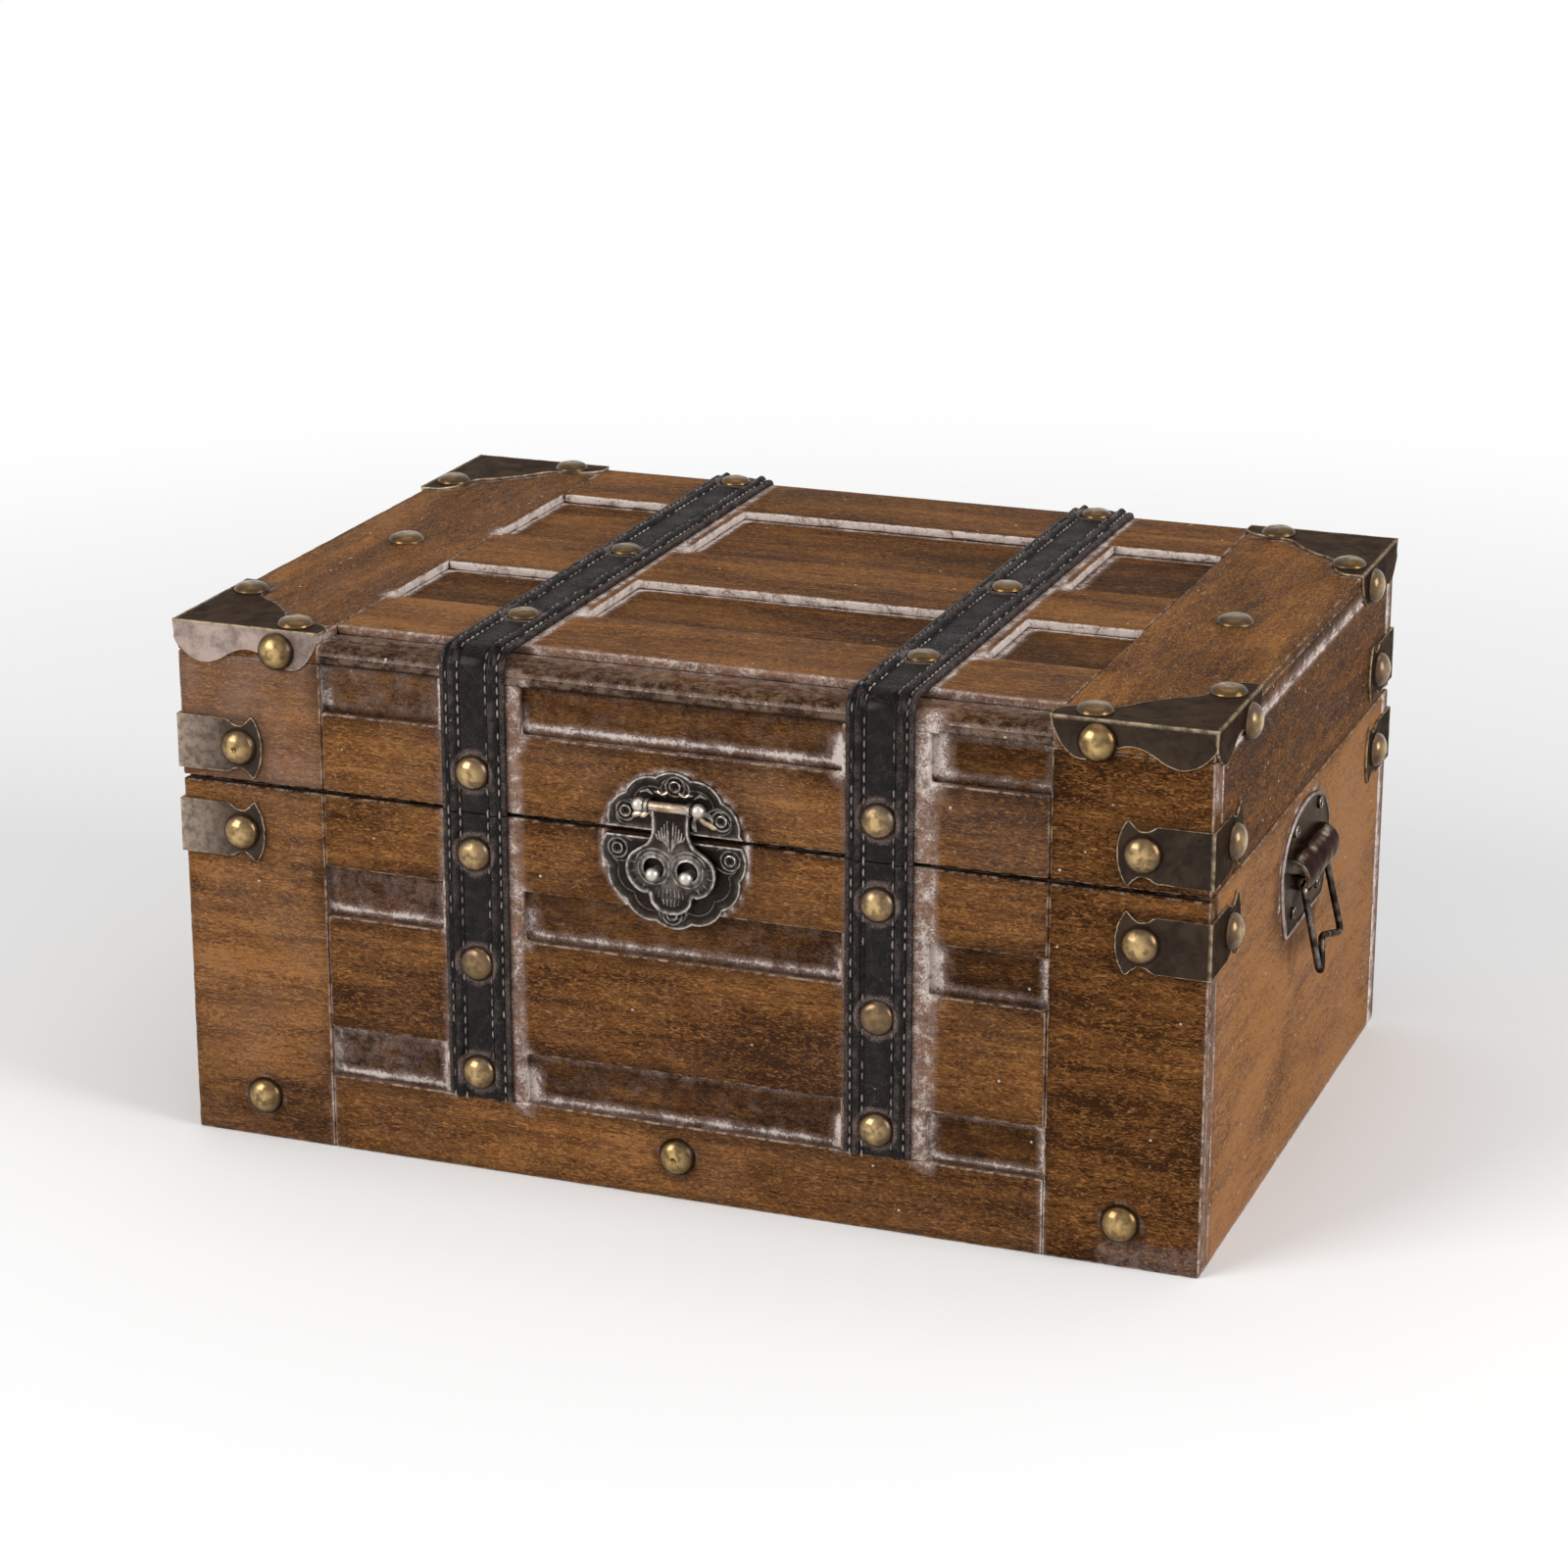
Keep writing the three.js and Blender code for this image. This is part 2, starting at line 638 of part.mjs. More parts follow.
function makeHasp() {
  const bore = latchPinRadius + pinClearance;
  const neck = haspNeckWidth / 2;
  const start = new THREE.Vector3(-neck, latchPinY, latchPinHeight);
  const cutStart = start.clone().addScaledVector(X, -overrun);
  let hasp = haspBlade().add(rod(bore + knuckleWall, start, X, haspNeckWidth))
    .subtract(rod(bore, cutStart, X, haspNeckWidth + 2 * overrun));
  for (const sign of [-1, 1]) {
    const eye = new THREE.Vector3(sign * haspEyeOffset, haspFront - overrun, latchPinHeight - haspLobeDrop);
    hasp = hasp.subtract(rod(haspEyeRadius, eye, Y, haspThickness + 2 * overrun));
  }
  addPiece(chest, 'hasp', hasp, materials.pewter);
}

function makeLatch() {
  const { pewter } = materials;
  const upperZ = latchCentreHeight + latchParting / 2;
  const lowerZ = latchCentreHeight - latchParting / 2;
  const wide = [-chestWidth, chestWidth];
  const deep = [frontFace - overrun, frontFace + overrun];
  const belowCut = block(wide, deep, [0, seamLevel + latchParting / 2]);
  const aboveCut = block(wide, deep, [seamLevel - latchParting / 2, chestHeight]);
  addPiece(lid, 'latch_upper_plate', joined([
    latchDisc(upperZ).subtract(belowCut),
    latchEar(-1),
    latchEar(1),
    ...latchScrews(upperZ, latchUpperScrews),
  ]), pewter);

  const ballCentre = latchBallSpan / 2;
  const pinStart = new THREE.Vector3(-ballCentre, latchPinY, latchPinHeight);
  addPiece(lid, 'latch_pin', joined([
    rod(latchPinRadius, pinStart, X, latchBallSpan),
    ball(latchBallRadius, pinStart),
    ball(latchBallRadius, pinStart.clone().addScaledVector(X, latchBallSpan)),
  ]), materials.brass);

  const postZ = latchPinHeight - haspLobeDrop;
  const postRoot = frontFace - latchPlateThickness / 2;
  const postLength = postRoot - haspBack - runClearance;
  const posts = [-1, 1].map((sign) => rod(latchPostRadius,
    new THREE.Vector3(sign * haspEyeOffset, postRoot, postZ), facing.front, postLength));
  addPiece(chest, 'latch_lower_plate', joined([
    latchDisc(lowerZ).subtract(aboveCut),
    ...posts,
    ...latchScrews(lowerZ, latchLowerScrews),
  ]), pewter);
  makeHasp();
}

// Side handles, drawn on the right and mirrored to the left
const bailX = halfWidth + bailAxisOffset;
const bailZ = handleCentreHeight - bailAxisDrop;
const hoodX = halfWidth + hoodAxisOffset;
const hoodZ = handleCentreHeight - hoodAxisDrop;

function hoodShell() {
  const shape = new THREE.Shape();
  const inner = hoodOuterRadius - hoodWall;
  const at = (radius, angle) => [hoodX + radius * Math.cos(angle), hoodZ + radius * Math.sin(angle)];
  shape.moveTo(...at(hoodOuterRadius, hoodLipAngle));
  shape.absarc(hoodX, hoodZ, hoodOuterRadius, hoodLipAngle, hoodTopAngle, false);
  shape.lineTo(...at(inner, hoodTopAngle));
  shape.absarc(hoodX, hoodZ, inner, hoodTopAngle, hoodLipAngle, true);
  const geometry = new THREE.ExtrudeGeometry(shape,
    { depth: hoodLength, bevelEnabled: false, curveSegments: 2 * arcSteps });
  geometry.applyMatrix4(new THREE.Matrix4().makeBasis(X, Z, facing.front).setPosition(0, hoodLength / 2, 0));
  return solid(geometry);
}

function bailLug(sign) {
  const outer = bailSpan / 2 - bailTopRadius;
  const [y0, y1] = sign > 0 ? [outer - lugWidth, outer] : [-outer, -outer + lugWidth];
  const root = halfWidth + handlePlateThickness / 2;
  const shape = new THREE.Shape();
  shape.moveTo(root, bailZ - lugRadius);
  shape.lineTo(bailX, bailZ - lugRadius);
  shape.absarc(bailX, bailZ, lugRadius, -Math.PI / 2, Math.PI / 2, false);
  shape.lineTo(root, bailZ + lugRadius);
  const bore = rod(bailWireRadius + pinClearance,
    new THREE.Vector3(bailX, y0 - overrun, bailZ), Y, lugWidth + 2 * overrun, screwFacets);
  return alongY(shape, y0, y1).subtract(bore);
}

function makeHandlePlates() {
  const half = handlePlateWidth / 2;
  const foot = half * plateFootWidthShare;
  const bottom = handleCentreHeight - handlePlateHeight / 2;
  const arch = handlePlateHeight * plateTopRiseShare;
  const plate = new THREE.Shape();
  plate.absellipse(0, bottom + handlePlateHeight - arch, half, arch, 0, Math.PI, false);
  plate.lineTo(-foot, bottom);
  plate.lineTo(foot, bottom);
  const face = halfWidth + handlePlateThickness;
  const oval = new THREE.ExtrudeGeometry(plate,
    { depth: handlePlateThickness, bevelEnabled: false, curveSegments: roundFacets });
  oval.applyMatrix4(new THREE.Matrix4().makeBasis(Y, Z, X).setPosition(halfWidth, 0, 0));
  const screwRise = handlePlateHeight * plateScrewRiseShare;
  const screwReach = handlePlateWidth * plateScrewReachShare;
  const screws = [[-1, 1], [1, 1], [-1, -1], [1, -1]].map(
    ([a, b]) => screw(face, a * screwReach, handleCentreHeight + b * screwRise, facing.right));
  const whole = joined([solid(oval), hoodShell(), bailLug(-1), bailLug(1), ...screws]);
  addPiece(chest, 'handle_plate_left', whole, materials.bronze, -1);
  addPiece(chest, 'handle_plate_right', whole, materials.bronze);
}

// Half of the bail's route as [across, down], from a stub to the middle of the bottom;
// a corner is rounded off between the places before and after it
function bailHalf() {
  const half = bailSpan / 2;
  const low = half + bailFlare;
  const round = bailCornerRadius;
  const kinkDown = bailDrop - bailKink;
  return [
    { place: [half - bailStubLength, 0] },
    { place: [half - bailTopRadius, 0] },
    { place: [half, 0], corner: true },
    { place: [half, bailTopRadius] },
    { place: [low, bailDrop - round] },
    { place: [low, bailDrop], corner: true },
    { place: [low - round, bailDrop - round / 2] },
    { place: [round / 2, kinkDown] },
    { place: [0, kinkDown], corner: true },
  ];
}

function bailCurve() {
  const half = bailHalf();
  const otherHalf = half.slice(0, -1).reverse().map(
    ({ place: [across, down], corner }) => ({ place: [-across, down], corner }));
  const route = [...half, ...otherHalf].map(({ place: [across, down], corner }) => ({
    corner,
    at: new THREE.Vector3(
      bailX + down * Math.sin(bailTilt), across, bailZ - down * Math.cos(bailTilt)),
  }));
  const path = new THREE.CurvePath();
  for (let i = 0; i + 1 < route.length; i += 1) {
    const [from, next, after] = route.slice(i, i + 3);
    if (next.corner) {
      path.add(new THREE.QuadraticBezierCurve3(from.at, next.at, after.at));
    } else if (!from.corner) {
      path.add(new THREE.LineCurve3(from.at, next.at));
    }
  }
  return path;
}

function makeBails() {
  const section = new THREE.Shape();
  section.absarc(0, 0, bailWireRadius, 0, 2 * Math.PI, false);
  const geometry = new THREE.ExtrudeGeometry(section, {
    steps: bailSteps, extrudePath: bailCurve(), curveSegments: arcSteps, bevelEnabled: false,
  });
  const wire = solid(geometry);
  addPiece(chest, 'bail_left', wire, materials.bronze, -1);
  addPiece(chest, 'bail_right', wire, materials.bronze);
}

// Butt hinges, each midway between a strap and the corner wrap beside it;
// the body leaf holds the end knuckles and the riveted pin
const hingeInner = strapOffset + strapWidth / 2;
const hingeOuter = halfWidth - wrapFrontReach;
const hingeSpread = (hingeInner + hingeOuter) / 2;
const hingeWidth = (hingeOuter - hingeInner) * hingeWidthShare;
const hingeY = backFace + hingeKnuckleRadius + runClearance;

function hingeLeaves(centre) {
  const half = hingeWidth / 2;
  const middle = (hingeWidth * hingeMiddleShare) / 2;
  const bore = hingePinRadius + pinClearance;
  const at = (x) => new THREE.Vector3(x, hingeY, seamLevel);
  const plate = (z0, z1) => block([centre - half, centre + half], [backFace, backFace + hingeLeafThickness],
    [z0, z1]);
  const room = hingeKnuckleRadius + runClearance;
  const ends = [[centre - half, centre - middle], [centre + middle, centre + half]];
  const gap = runClearance;

  const bodyKnuckles = ends.map(([x0, x1]) => rod(hingeKnuckleRadius, at(x0), X, x1 - x0));
  const middleRoom = rod(room, at(centre - middle - gap), X, 2 * (middle + gap));
  const body = joined([
    joined([plate(bodyTop - hingeLeafHeight, bodyTop), ...bodyKnuckles]).subtract(middleRoom),
    rod(hingePinRadius, at(centre - half), X, hingeWidth),
    ...hingeScrews(centre, bodyTop - hingeLeafHeight / 2),
  ]);

  const innerHalf = middle - gap;
  const endRoom = half - middle + gap + overrun;
  const endRooms = [centre - half - overrun, centre + middle - gap].map((x) => rod(room, at(x), X, endRoom));
  const lidLeaf = joined([
    endRooms.reduce((whole, cut) => whole.subtract(cut), plate(lidBottom, lidBottom + hingeLeafHeight)),
    rod(hingeKnuckleRadius, at(centre - innerHalf), X, 2 * innerHalf),
    ...hingeScrews(centre, lidBottom + hingeLeafHeight / 2),
  ]).subtract(rod(bore, at(centre - middle - overrun), X, 2 * (middle + overrun)));
  return { body, lidLeaf };
}

function hingeScrews(centre, z) {
  return [-1, 1].map((sign) => screw(centre + sign * hingeWidth * hingeScrewShare,
    backFace + hingeLeafThickness, z, facing.back));
}

function makeHinges() {
  for (const [side, centre] of [['left', -hingeSpread], ['right', hingeSpread]]) {
    const { body, lidLeaf } = hingeLeaves(centre);
    addPiece(chest, `hinge_body_leaf_${side}`, body, materials.bronze);
    addPiece(lid, `hinge_lid_leaf_${side}`, lidLeaf, materials.bronze);
  }
}

makeBodyBoards();
makeBodyPlanks();
makeLidBoards();
makeLidPlanks();
makeStraps();
makeCorners();
makeFreeStuds();
makeLatch();
makeHandlePlates();
makeBails();
makeHinges();

export default chest;
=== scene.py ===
"""Finish of the wooden treasure chest: worn boards, leather straps, brass nails and stamped fittings."""

import json
import math
import zlib
from itertools import product

import bmesh
import bpy
import numpy as np
from bpy.props import FloatProperty, FloatVectorProperty, IntProperty, PointerProperty
from mathutils import Euler, Matrix, Vector, noise


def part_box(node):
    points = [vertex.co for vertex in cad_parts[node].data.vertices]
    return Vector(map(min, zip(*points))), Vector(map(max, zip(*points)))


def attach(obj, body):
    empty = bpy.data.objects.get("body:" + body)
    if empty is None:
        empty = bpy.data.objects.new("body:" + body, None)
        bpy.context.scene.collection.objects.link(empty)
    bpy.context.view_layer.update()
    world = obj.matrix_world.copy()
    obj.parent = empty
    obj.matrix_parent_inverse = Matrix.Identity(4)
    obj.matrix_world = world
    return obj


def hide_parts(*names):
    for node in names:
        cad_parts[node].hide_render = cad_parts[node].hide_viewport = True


bl_info = {
    "name": "Treasure Chest Finish",
    "version": (1, 0, 0),
    "blender": (4, 5, 0),
    "location": "3D View > Sidebar > Chest",
    "description": "Builds the worn wood, leather, nails and metal fittings of a wooden treasure chest",
    "category": "Object",
}

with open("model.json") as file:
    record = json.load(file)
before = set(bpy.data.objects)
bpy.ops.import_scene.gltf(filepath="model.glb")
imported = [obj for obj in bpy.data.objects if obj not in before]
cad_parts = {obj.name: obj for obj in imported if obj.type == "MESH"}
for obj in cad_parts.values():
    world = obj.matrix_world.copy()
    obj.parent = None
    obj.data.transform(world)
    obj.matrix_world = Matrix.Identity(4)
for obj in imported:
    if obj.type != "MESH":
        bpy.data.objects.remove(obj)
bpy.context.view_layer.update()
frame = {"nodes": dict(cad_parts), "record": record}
MM = 0.001
FORWARD, BACKWARD, RIGHT, UP = (Vector(way) for way in ((0, -1, 0), (0, 1, 0), (1, 0, 0), (0, 0, 1)))


def node_box(name):
    """Lowest and highest corner of a CAD node, in millimetres."""
    return [np.array(corner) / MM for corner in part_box(name)]


# Places that the boards, straps and fittings share, in millimetres
HALF_WIDTH, BACK, BODY_TOP = node_box("body_back_board")[1]
PANEL, FRONT = node_box("body_front_stile_right")[0][:2]
FLOOR = node_box("body_front_board")[0][1]
RAIL_TOP = node_box("body_bottom_rail")[1][2]
LID_BOTTOM = node_box("lid_front_board")[0][2]
PANEL_BOTTOM, PANEL_TOP = (corner[2] for corner in node_box("lid_top_board"))
TOP = node_box("lid_end_board_right")[1][2]
SIDE_FRONT, SIDE_BACK = (corner[1] for corner in node_box("body_side_right"))
TOP_FRONT_START, TOP_FRONT_END = (corner[1] for corner in node_box("top_plank_front"))
TOP_REAR_START = node_box("top_plank_rear")[0][1]
TOP_MIDDLE = (-18.6, 20.0)
UPPER_PLANK_BOTTOM = node_box("body_upper_plank")[0][2]
MIDDLE_PLANK = (40.0, 76.5)
LID_PLANK_TOP = 141.0
STRAP_CENTRES = {side: sum(corner[0] for corner in node_box(f"body_strap_front_{side}")) / 2
                 for side in ("left", "right")}
STRAP_HALF = 10.5
LEATHER, BACK_LEATHER = 1.7, 1.4  # how high nails stand on the straps, at the front and the back
STRAP_LIFT = 0.5  # the straps end this far above the bottom rail
BATTEN_LEFT, BATTEN_RIGHT = 1.5, 4.3
SEAM_WEAR = 0.3  # worn off the boards on both sides of the seam
SHEET = 0.9
BODY_WRAP_Z, LID_WRAP_Z = 100.5, 127.5
BRACKET_REACH = 48.9
BRACKET_TOP = [(1, 0), (1, .12), (.93, .2), (.8, .24), (.66, .28), (.56, .42), (.42, .56), (.28, .66),
               (.24, .8), (.2, .93), (.12, 1), (0, 1)]
STUD_X, STUD_Z = 138, 14
LATCH_X = sum(corner[0] for corner in node_box("latch_lower_plate")) / 2
LATCH_Z = 111.2
PLATE_OFFSET = 1.5  # the halves of the latch plate are centred this far above and below the latch
PIN_Y, PIN_Z = -115.6, 125.8
HASP_BACK = -113.5
EYE_X, EYE_RISE = 5.3, -19.6  # the right eye of the hasp, from its pin
HANDLE_Z = 93
WIDTH, DEPTH, SEAM = (-HALF_WIDTH, HALF_WIDTH), (FRONT, BACK), (BODY_TOP, LID_BOTTOM)


def srgb(red, green, blue):
    """A colour written as a screen shows it, as Blender's linear values."""
    def linear(value):
        value /= 255
        return value / 12.92 if value <= 0.04045 else ((value + 0.055) / 1.055) ** 2.4
    return (linear(red), linear(green), linear(blue), 1.0)


def colour(name, description, *shade):
    """A colour setting; its shade is written as a screen shows it."""
    return FloatVectorProperty(name=name, description=description, subtype="COLOR", size=4,
                               min=0, max=1, default=srgb(*shade))


def length(name, description, default, low, high):
    """A setting in millimetres."""
    return FloatProperty(name=name, description=description, subtype="DISTANCE", default=default * MM,
                         min=low * MM, max=high * MM)


class ChestWood(bpy.types.PropertyGroup):
    """Finish of the boards."""
    worn: colour("Worn edge", "Pale brown of the rubbed board edges", 182, 156, 134)
    fibre: colour("Fibres", "Tan of the short curly fibres", 168, 120, 74)
    light: colour("Light stain", "Brightest brown of the boards", 150, 102, 56)
    middle: colour("Middle stain", "Main brown of the boards", 104, 67, 35)
    deep: colour("Deep stain", "Darkest brown of the grain", 54, 33, 19)
    # This colour also paints shade in the pockets and seams, and shadows round the fittings.
    soot: colour("Dark edging", "Near-black brown rubbed into the pockets", 30, 20, 16)
    wash: colour("Whitewash", "Thin lilac-grey wash in the joints", 152, 130, 122)
    chalk: colour("Chalk", "Thick pale wash on the crests", 226, 214, 206)
    edge: length("Edge rounding", "Radius of the worn board edges", 0.8, 0.1, 2)
    step: length("Mesh spacing", "Distance between the lines of a board's mesh", 2.4, 1, 20)


class ChestLeather(bpy.types.PropertyGroup):
    """Finish of the straps."""
    hide: colour("Leather", "Black of the straps", 17, 12, 11)
    worn: colour("Worn leather", "Grey of rubbed crests", 104, 90, 84)
    thread: colour("Thread", "Colour of the stitches", 158, 147, 140)
    pitch: length("Stitch pitch", "Distance from stitch to stitch", 3.5, 1, 10)
    missing: FloatProperty(name="Worn stitches", description="Share of the stitches that has worn away",
                           subtype="FACTOR", default=0.28, min=0, max=1)
    seed: IntProperty(name="Seed", description="Which stitches are worn away", default=4)


class ChestMetal(bpy.types.PropertyGroup):
    """Finish of the nails and fittings."""
    brass: colour("Brass", "Bright brass of the nails", 202, 170, 114)
    # On the nails, the tarnish left on the dome's skirt is also painted shade.
    tarnish: colour("Tarnish", "Dark brass round the rims", 94, 70, 42)
    bronze: colour("Bronze", "Dark bronze of the corners", 58, 45, 34)
    bronze_dark: colour("Dark patina", "Darkest bronze", 35, 27, 22)
    lilac: colour("Pale patina", "Pale bloom on the bronze", 190, 168, 158)
    rim: colour("Worn rim", "Bright worn edges of the sheet", 214, 192, 158)
    pewter: colour("Pewter", "Dark pewter of the latch", 42, 35, 33)
    silver: colour("Silver", "Bright rims and balls of the latch", 186, 177, 168)
    chrome: colour("Ball heads", "Pale silver of the pin and post heads", 204, 197, 188)
    iron: colour("Iron", "Black iron of the bails", 34, 28, 26)
    nail: FloatProperty(name="Nail size", description="Scale of the domed nails", default=1.05,
                        min=0.5, max=1.2)


class ChestStage(bpy.types.PropertyGroup):
    """Camera, floor and lamps."""
    azimuth: FloatProperty(name="Azimuth", description="Camera direction round the chest",
                           subtype="ANGLE", default=math.radians(20.604))
    elevation: FloatProperty(name="Elevation", description="Camera height angle",
                             subtype="ANGLE", default=math.radians(18.149))
    distance: length("Distance", "Camera distance from the middle of the chest", 1326.3, 300, 9000)
    lens: FloatProperty(name="Lens", description="Focal length on a 36 mm frame, in mm", default=95.464)
    key: FloatProperty(name="Key light", description="Power of the lamp on the left, in watts", default=30)
    fill: FloatProperty(name="Fill light", description="Power of the lamp on the right, in watts", default=25)
    overhead: FloatProperty(name="Top light", description="Power of the lamp above, in watts", default=5.5)
    ambient: FloatProperty(name="Ambient", description="Strength of the world's even light", default=0.4)
    floor: FloatVectorProperty(name="Floor", description="Colour of the floor", subtype="COLOR", size=4,
                               min=0, max=1, default=(0.98, 0.98, 0.98, 1.0))


# Shader nodes in few words

class Nodes:
    """Adds nodes to a tree; an input takes a value or another node's output."""

    def __init__(self, tree):
        self.tree = tree

    def fill(self, sockets, values):
        for key, value in values.items():
            if isinstance(value, bpy.types.NodeSocket):
                self.tree.links.new(value, sockets[key])
            else:
                sockets[key].default_value = value

    def add(self, kind, inputs=None, **settings):
        node = self.tree.nodes.new(kind)
        for key, value in settings.items():
            setattr(node, key, value)
        self.fill(node.inputs, inputs or {})
        return node

    def first(self, kind, inputs=None, **settings):
        """The first output of a new node."""
        return self.add(kind, inputs, **settings).outputs[0]

    def noise(self, vector, scale, detail=3.0, roughness=0.5, distortion=0.0):
        return self.add("ShaderNodeTexNoise", {"Vector": vector, "Scale": scale, "Detail": detail,
                        "Roughness": roughness, "Distortion": distortion}).outputs["Fac"]

    def math(self, operation, first, second, clamp=False):
        return self.first("ShaderNodeMath", {0: first, 1: second}, operation=operation,
                          use_clamp=clamp)

    def times(self, first, second, clamp=False):
        return self.math("MULTIPLY", first, second, clamp)

    def plus(self, first, second):
        return self.math("ADD", first, second)

    def swing(self, value, strength):
        """A value round one half, turned into one round zero."""
        return self.times(self.math("SUBTRACT", value, 0.5), strength)

    def vector(self, operation, first, second):
        return self.first("ShaderNodeVectorMath", {0: first, 1: second}, operation=operation)

    def ease(self, value, low, high, start=0.0, end=1.0):
        return self.add("ShaderNodeMapRange", {"Value": value, "From Min": low, "From Max": high,
                        "To Min": start, "To Max": end}, interpolation_type="SMOOTHSTEP").outputs["Result"]

    def mix(self, factor, first, second):
        return self.add("ShaderNodeMix", {0: factor, 6: first, 7: second}, data_type="RGBA").outputs[2]

    def attribute(self, name):
        return self.add("ShaderNodeAttribute", attribute_name=name).outputs["Fac"]

    def place(self):
        return self.add("ShaderNodeTexCoord").outputs["Object"]

    def group(self, name, inputs):
        return self.add("ShaderNodeGroup", inputs, node_tree=bpy.data.node_groups[name]).outputs

    def specks(self, place, scale, share, shift=(0, 0, 0)):
        return self.group("dust_specks", {"Vector": self.vector("ADD", place, shift), "Scale": scale,
                                          "Share": share})["Mask"]


def shader_group(name, vectors, values, outputs):
    """An empty shader group with vector and value inputs and value outputs; returns helper and sockets."""
    tree = bpy.data.node_groups.new(name, "ShaderNodeTree")
    for sockets, way, kind in ((vectors, "INPUT", "Vector"), (values, "INPUT", "Float"),
                               (outputs, "OUTPUT", "Float")):
        for socket in sockets:
            tree.interface.new_socket(name=socket, in_out=way, socket_type=f"NodeSocket{kind}")
    nodes = Nodes(tree)
    return nodes, nodes.add("NodeGroupInput").outputs, nodes.add("NodeGroupOutput").inputs


def build_effect_groups():
    """Grain, whitewash, specks, patina and leather pebble, each used by several materials."""
    nodes, given, out = shader_group("board_grain", ("Vector", "Broad stretch", "Fine stretch"), ("Tone",),
                                     ("Broad", "Streak", "Worm", "Pore"))
    shift = nodes.first("ShaderNodeCombineXYZ", {axis: nodes.times(given["Tone"], share)
                      for axis, share in (("X", 3.7), ("Y", 1.9), ("Z", 2.6))})
    moved = nodes.vector("ADD", given["Vector"], shift)
    broad = nodes.vector("MULTIPLY", moved, given["Broad stretch"])
    fine = nodes.vector("MULTIPLY", moved, given["Fine stretch"])
    nodes.fill(out, {
        "Broad": nodes.noise(broad, 34, 4, 0.6, 0.5), "Streak": nodes.noise(fine, 210, 6, 0.72, 0.4),
        "Pore": nodes.noise(fine, 1250, 2, 0.6, 1.2), "Worm": nodes.noise(broad, 950, 3, 0.62, 2.2)})

    nodes, given, out = shader_group("whitewash", ("Vector",), ("Amount",), ("Mask", "Chalk"))
    coarse = nodes.noise(given["Vector"], 190, 5, 0.72, 0.6)
    ragged = nodes.noise(given["Vector"], 620, 4, 0.62, 2.4)
    level = nodes.plus(given["Amount"], nodes.plus(nodes.swing(coarse, 1.2), nodes.swing(ragged, 0.9)))
    present = nodes.ease(given["Amount"], 0.02, 0.34)
    nodes.fill(out, {"Mask": nodes.times(nodes.ease(level, 0.08, 0.98), present),
                     "Chalk": nodes.times(nodes.ease(level, 0.6, 0.98), present)})

    nodes, given, out = shader_group("dust_specks", ("Vector",), ("Scale", "Share"), ("Mask",))
    cells = nodes.add("ShaderNodeTexVoronoi", {"Vector": given["Vector"], "Scale": given["Scale"]}).outputs
    draw = nodes.first("ShaderNodeSeparateXYZ", {0: cells["Color"]})
    nodes.fill(out, {"Mask": nodes.times(nodes.math("LESS_THAN", draw, given["Share"]),
                                         nodes.ease(cells["Distance"], 0.03, 0.075, 1.0, 0.0))})

    nodes, given, out = shader_group("metal_patina", ("Vector",), ("Scale",), ("Cloud", "Pit", "Height"))
    cloud = nodes.noise(given["Vector"], given["Scale"], 5, 0.62, 0.7)
    grit = nodes.noise(given["Vector"], nodes.times(given["Scale"], 9.0), 3, 0.6)
    nodes.fill(out, {"Cloud": nodes.ease(cloud, 0.34, 0.66), "Pit": nodes.ease(grit, 0.62, 0.74),
                     "Height": nodes.plus(nodes.times(cloud, 0.7), nodes.times(grit, 0.3))})

    nodes, given, out = shader_group("leather_pebble", ("Vector",), (), ("Height", "Crease"))
    pebble = nodes.add("ShaderNodeTexVoronoi", {"Vector": given["Vector"], "Scale": 950.0},
                       feature="DISTANCE_TO_EDGE").outputs["Distance"]
    crease = nodes.noise(given["Vector"], 240, 5, 0.68, 1.0)
    nodes.fill(out, {"Height": nodes.plus(nodes.ease(pebble, 0.0, 0.22), nodes.times(crease, 1.3)),
                     "Crease": nodes.ease(crease, 0.52, 0.7)})


def new_material(name):
    """Makes a material; returns its helper and the inputs of its Principled shader."""
    material = bpy.data.materials.new(name)
    material.use_nodes = True
    return Nodes(material.node_tree), material.node_tree.nodes["Principled BSDF"].inputs


def bump(nodes, height, distance, strength=1.0):
    return nodes.add("ShaderNodeBump", {"Height": height, "Distance": distance,
                                        "Strength": strength}).outputs["Normal"]


